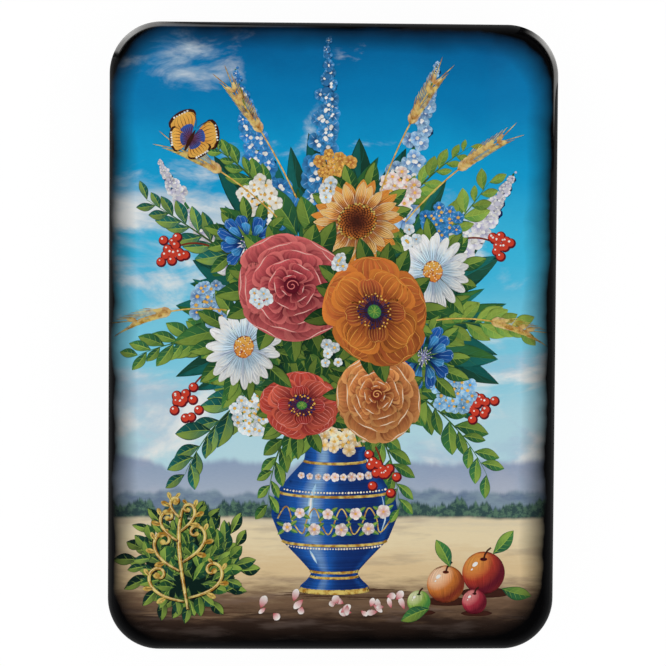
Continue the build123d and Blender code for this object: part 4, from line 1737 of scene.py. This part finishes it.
def apple(piece, centre, radius, deep, body, light, strands=46):
    """A fruit on its shadow, with fine strokes, a stalk and two glints."""
    centre = np.asarray(centre, float)
    side = even(-1, 1, 9)
    shadow = (centre + pair(0.5 + side * radius * 1.25, -radius * 0.93))[None]
    lay(piece, ribbon(shadow, (0.24 * radius * np.sqrt(1.02 - side**2))[None]), umber)
    x = np.sin(even(-1, 1, 25) * math.pi / 2)[:, None]
    y = np.sqrt(np.clip(1 - x * x, 0.0008, 1)) * even(-1, 1, 19)[None]
    lay(piece, (centre + radius * pair(x, y))[None], round_tone(x, y, deep, body, light)[None])
    half = strands // 2
    side = np.repeat(even(-0.93, 0.93, half), 2)[:, None] + chance(-0.03, 0.03, (strands, 1))
    t = even(0, 1, 9)[None] * 0.75 + np.tile([-0.86, 0.06], half)[:, None]
    t = t + chance(-0.05, 0.05, (strands, 1))
    x, y = side * np.sqrt(np.clip(1 - t * t, 0.02, 1)), t * 0.97
    tone = round_tone(x, y, deep, body, light)[:, :, None] * chance(0.72, 1.35, (strands, 1, 1, 1))
    lay(piece, ribbon(centre + radius * pair(x, y), 0.075 * np.sin(even(0.2, 2.9, 9))[None]), tone)
    stalk = centre + radius * pair([0.0, 0.06, 0.18, 0.34], [0.62, 0.86, 1.05, 1.18])
    # A dark hollow round the stalk, painted shade.
    disc(piece, centre + [0, radius * 0.64], radius * 0.17, deep * 0.5, (0.5, 1.57))
    lay(piece, ribbon(stalk[None], 0.2), umber)
    for shift, size in (((-0.40, 0.40), 0.15), ((-0.55, 0.16), 0.06)):
        disc(piece, centre + radius * np.array(shift), radius * size, chalk, (0.6, 2.3))


for centre, radius, deep, body, light in (
        ((34, -52.5), 4.8, wine, (0.52, 0.05, 0.02), amber), ((25.5, -55), 4.2, brick, orange, cream),
        ((32, -59), 2.8, wine, rose, blush), ((19.5, -59), 2.6, leaf_green, lime, cream)):
    apple("fruit", centre, radius, deep, body, light)
leaves("fruit", [[36, -48.3], [26.5, -51.3], [38, -56], [22, -60.5]], [0.7, 1.9, -0.4, 3.4],
       7.0, 1.6, 0.15, deep_green, leaf_green)
print(len(strokes), "sets of marks")

# %% [markdown]
# Fallen petals lie before the vase, and a butterfly hangs in the free sky. Its wings are petals
# too: each is laid three times, smaller and brighter, with veins and a row of spots.

# %% Fallen petals and a butterfly
fallen = Petals(pair(chance(-16, 20, 22), chance(-62, -57.5, 22)), chance(0, 6.28, 22),
                chance(1.6, 3.0, 22), chance(0.5, 1.0, 22))
lay("fruit", fallen.plate(7, 5), petal_tone(22, 7, 5, rose, chalk))


def butterfly(piece, centre, size, turn):
    """Four wings about a body, with dark rims, spots and two feelers."""
    centre = np.asarray(centre, float)
    for spread, length, wide in ((0.62, 1.0, 0.52), (-0.55, 0.72, 0.44)):
        for side in (-1, 1):
            for part, body, tip in ((1.0, umber, umber), (0.9, orange, amber), (0.5, brick, cobalt)):
                wing = Petals(centre, turn + side * (1.57 - spread), size * length * part,
                              size * wide * part, bend=-0.1 * side, p=2.2, q=0.5)
                lay(piece, wing.plate(9, 7), petal_tone(1, 9, 7, body, tip))
                lay(piece, wing.lines(even(-0.7, 0.7, 6), 0.1, 0.92, 0.06, 7), umber)
            across = even(-0.75, 0.75, 6)[None, :, None]
            rim = wing.at(np.full((1, 6, 1), 0.93), across).reshape(-1, 2)
            dots(piece, centre + (rim - centre) * 1.93, size * 0.035, chalk)
    body = centre + even(-0.45, 0.35, 12)[:, None] * heading(turn) * size
    lay(piece, ribbon(body[None], (size * 0.07 * np.sin(even(0.3, 3.0, 12)))[None]), umber)
    for side in (-1, 1):
        scroll(piece, body[-1], turn + 0.35 * side, size * 0.7, 1.4 * side, 0.07, 0.0, umber, 14)


butterfly("fruit", (-32, 44), 6.5, 1.1)
print(len(strokes), "sets of marks")

# %% [markdown]
# All marks are laid, so their heights can be found. The paint is pressed into the room under the
# box's full height, and each group of strokes becomes one piece.

# %% Painted pieces
standing = stack_strokes()
thinner = min(1.0, (paint_room - 2 * paint_lift) / standing)
for piece in dict.fromkeys(made["piece"] for made in strokes):
    make_piece(piece, oil_paint, thinner)

# %% [markdown]
# The hinge is rolled brass sheet on a wire pin. Old brass is warm and a little dull, with brown
# patches of tarnish and fine drawn lines. The packed solids have the right shape, so they stay.

# %% Brass
def brass(name):
    """Drawn brass: two tones of metal by tarnish, dark spots, and fine lines along y."""
    finish = Finish(name)
    place = finish.place()
    x, y, z = finish.split(place)
    drawn = finish.noise(finish.join(x * 40.0, y * 2.0, z * 40.0), 220.0, 3.0, 0.6)
    stain = finish.rise(finish.noise(place, 240.0, 5.0, 0.6), 0.42, 0.66)
    spots = finish.rise(finish.noise(place, 1100.0, 3.0, 0.6), 0.66, 0.76)
    colour = finish.mix(stain * 0.65, (0.72, 0.47, 0.16), (0.36, 0.20, 0.065))
    return finish.surface(
        Base_Color=finish.mix(spots * 0.6, colour, (0.10, 0.055, 0.025)),
        Metallic=0.98 - spots * 0.3,
        Roughness=0.26 + stain * 0.2 + drawn * 0.12,
        Normal=finish.bump(drawn + spots * 0.5, 0.00001),
    )


hinge_brass = brass("hinge brass")
hinge_nodes = ("hinge_leaf_body", "hinge_leaf_lid", "hinge_pin", "hinge_tacks_body", "hinge_tacks_lid")
for node in hinge_nodes:
    for place in frame["nodes"][node].material_slots:
        place.material = hinge_brass
print("brass parts", len(hinge_nodes))

# %% [markdown]
# The box stands on a pale table that the camera sees as plain white. More light would do that too,
# but would bleach the box. So the table glows, and Light Path lets only the camera's, the glass's
# and the mirror's rays see it, while its matt share keeps the faint shadow at the box's foot.
# Mirrors see little of the glow, as the box's edge is black down to the table.

# %% Table
table_reach = 1600.0
glow_to_camera, glow_to_mirrors, glow_strength = 0.6, 0.04, 1.6


def table_finish():
    """Matt paper mixed with a white glow, by the kind of ray that meets it."""
    finish = Finish("studio table")
    ray = finish.node("ShaderNodeLightPath", output="Is Camera Ray")
    glass, mirror = finish.several(ray, "Is Transmission Ray", "Is Glossy Ray")
    seen = ray.most(glass) * glow_to_camera + mirror * glow_to_mirrors
    paper = finish.noise(finish.place(), 30.0, 4.0, 0.5)
    matt = finish.node("ShaderNodeBsdfPrincipled", None, {
        "Base Color": finish.mix(paper, (0.13, 0.13, 0.135), (0.15, 0.15, 0.15)),
        "Roughness": 1.0, "Specular IOR Level": 0.0})
    glow = finish.node("ShaderNodeEmission", None, {
        "Color": rgba((1.0, 1.0, 1.0)), "Strength": glow_strength})
    return finish.end(finish.node("ShaderNodeMixShader", None, {0: seen, 1: matt, 2: glow}))


table_top = np.array([[-1, -1, 0], [1, -1, 0], [1, 1, 0], [-1, 1, 0]]) * table_reach
table = build_mesh("studio_table", table_top, [[0, 1, 2, 3]], None, None, [table_finish()])
print("table", [round(side, 2) for side in table.dimensions], "m")

# %% [markdown]
# One big soft lamp overhead does the lighting. Its power is the brightness of its face times its
# area times pi. It is hidden from mirrors, or it would lie as a glare over the whole lid.

# %% Overhead lamp
lamp_size, lamp_radiance, lamp_place = 2.2, 1.52, (0.0, -0.05, 1.2)

lamp = bpy.data.objects.new("overhead", bpy.data.lights.new("overhead", "AREA"))
lamp.data.size, lamp.data.energy = lamp_size, lamp_radiance * lamp_size**2 * math.pi
lamp.location = lamp_place
lamp.visible_glossy = lamp.visible_camera = False
bpy.context.scene.collection.objects.link(lamp)
print("overhead lamp", round(lamp.data.energy, 1), "W")

# %% [markdown]
# The photographed edge has a bright line at each upper corner, the mirror image of something long
# and pale. Two curved cards of light stand for it, seen only in the varnish. The edge's lower part
# mirrors the table, so they start on the table and turn upright farther out. Their glow fades at
# the ends and the top, for soft lines.

# %% Cards of light
card_steps, card_tint = (61, 81), [1.0, 0.99, 0.97, 0.0]
card_far, edge_height = 600.0, 33.0


def card_points(centre, turn, up):
    """Points by two angles in degrees, round the corner and up from the level, seen from the lid's
    edge: away = height / tan(-up) on the table, at most 600 mm, and upright beyond."""
    slope = np.tan(np.radians(up))
    away = np.minimum(card_far, edge_height / np.maximum(-slope, 0.001))
    x, y = centre[0] + away * np.cos(np.radians(turn)), centre[1] + away * np.sin(np.radians(turn))
    return np.stack([x, y, np.maximum(0.5, edge_height + away * slope) + 0 * turn], -1)


def light_card(name, centre, ends, start, stop, middle, level, peak, spread, wave, lean, top):
    """A card round a corner, whose glow is level + peak * e^-((turn - middle) / spread)^2 between
    soft ends, with faint waves, and falls off below the level and above it."""
    turn, up = even(*ends, card_steps[0])[:, None], even(-55, 45, card_steps[1])[None]
    glow = soft_step(turn, *start) * soft_step(-turn, -stop[1], -stop[0])
    glow = glow * (level + peak * np.exp(-((turn - middle) / spread) ** 2))
    glow = glow * (1 + wave * np.sin(up * 0.45 + turn * lean)) * (1 + np.minimum(up, 0) / 68)
    glow = (glow * np.exp(-(np.maximum(up, 0) / top) ** 2)).reshape(-1, 1)
    faces = grid_faces(np.arange(len(glow)).reshape(card_steps).T)
    finish = Finish(name)
    colour = finish.node("ShaderNodeAttribute", {"attribute_name": "glow"}, output="Color")
    shine = finish.end(finish.node("ShaderNodeEmission", None, {"Color": colour, "Strength": 1.0}))
    points = card_points(centre, turn, up).reshape(-1, 3)
    card = build_mesh(name, points, faces.tolist(), None, None, [shine])
    tint = glow * card_tint + [0.0, 0.0, 0.0, 1.0]
    card.data.attributes.new("glow", "FLOAT_COLOR", "POINT").data.foreach_set("color", tint.ravel())
    card.visible_camera = card.visible_diffuse = card.visible_shadow = card.visible_transmission = False
    print(name, "brightest", round(float(glow.max()), 1))


light_card("upper_left", (-38.5, 58.5), (80, 160), start=(82, 96), stop=(152, 157), middle=128,
           level=2.6, peak=2.4, spread=15, wave=0.3, lean=0.05, top=9)
light_card("upper_right", (38.5, 58.5), (-2, 70), start=(-0.7, 0.8), stop=(46, 66), middle=34,
           level=2.3, peak=2.2, spread=13, wave=0.25, lean=-0.05, top=8)

# %% [markdown]
# The room gives a dim light that grows from the zenith to the horizon, so that a level mirror such
# as the lid stays dark. The view transform is Standard, so a colour renders as written.

# %% Room
def studio_world():
    """Dim room light, cool, from the zenith's strength where z is 0.92 to the horizon's at 0.25."""
    finish = Finish("studio", "worlds")
    x, y, z = finish.split(finish.node("ShaderNodeTexCoord", output="Generated"))
    zenith, horizon = [tuple(part * level for part in (0.93, 0.96, 1.0)) for level in (0.012, 0.11)]
    colour = finish.mix(finish.rise(z, 0.92, 0.25, "LINEAR"), zenith, horizon)
    light = finish.node("ShaderNodeBackground", None, {"Color": colour, "Strength": 1.0})
    return finish.end(light, "ShaderNodeOutputWorld")


bpy.context.scene.world = studio_world()
bpy.context.scene.view_settings.view_transform = "Standard"
print("world", bpy.context.scene.world.name)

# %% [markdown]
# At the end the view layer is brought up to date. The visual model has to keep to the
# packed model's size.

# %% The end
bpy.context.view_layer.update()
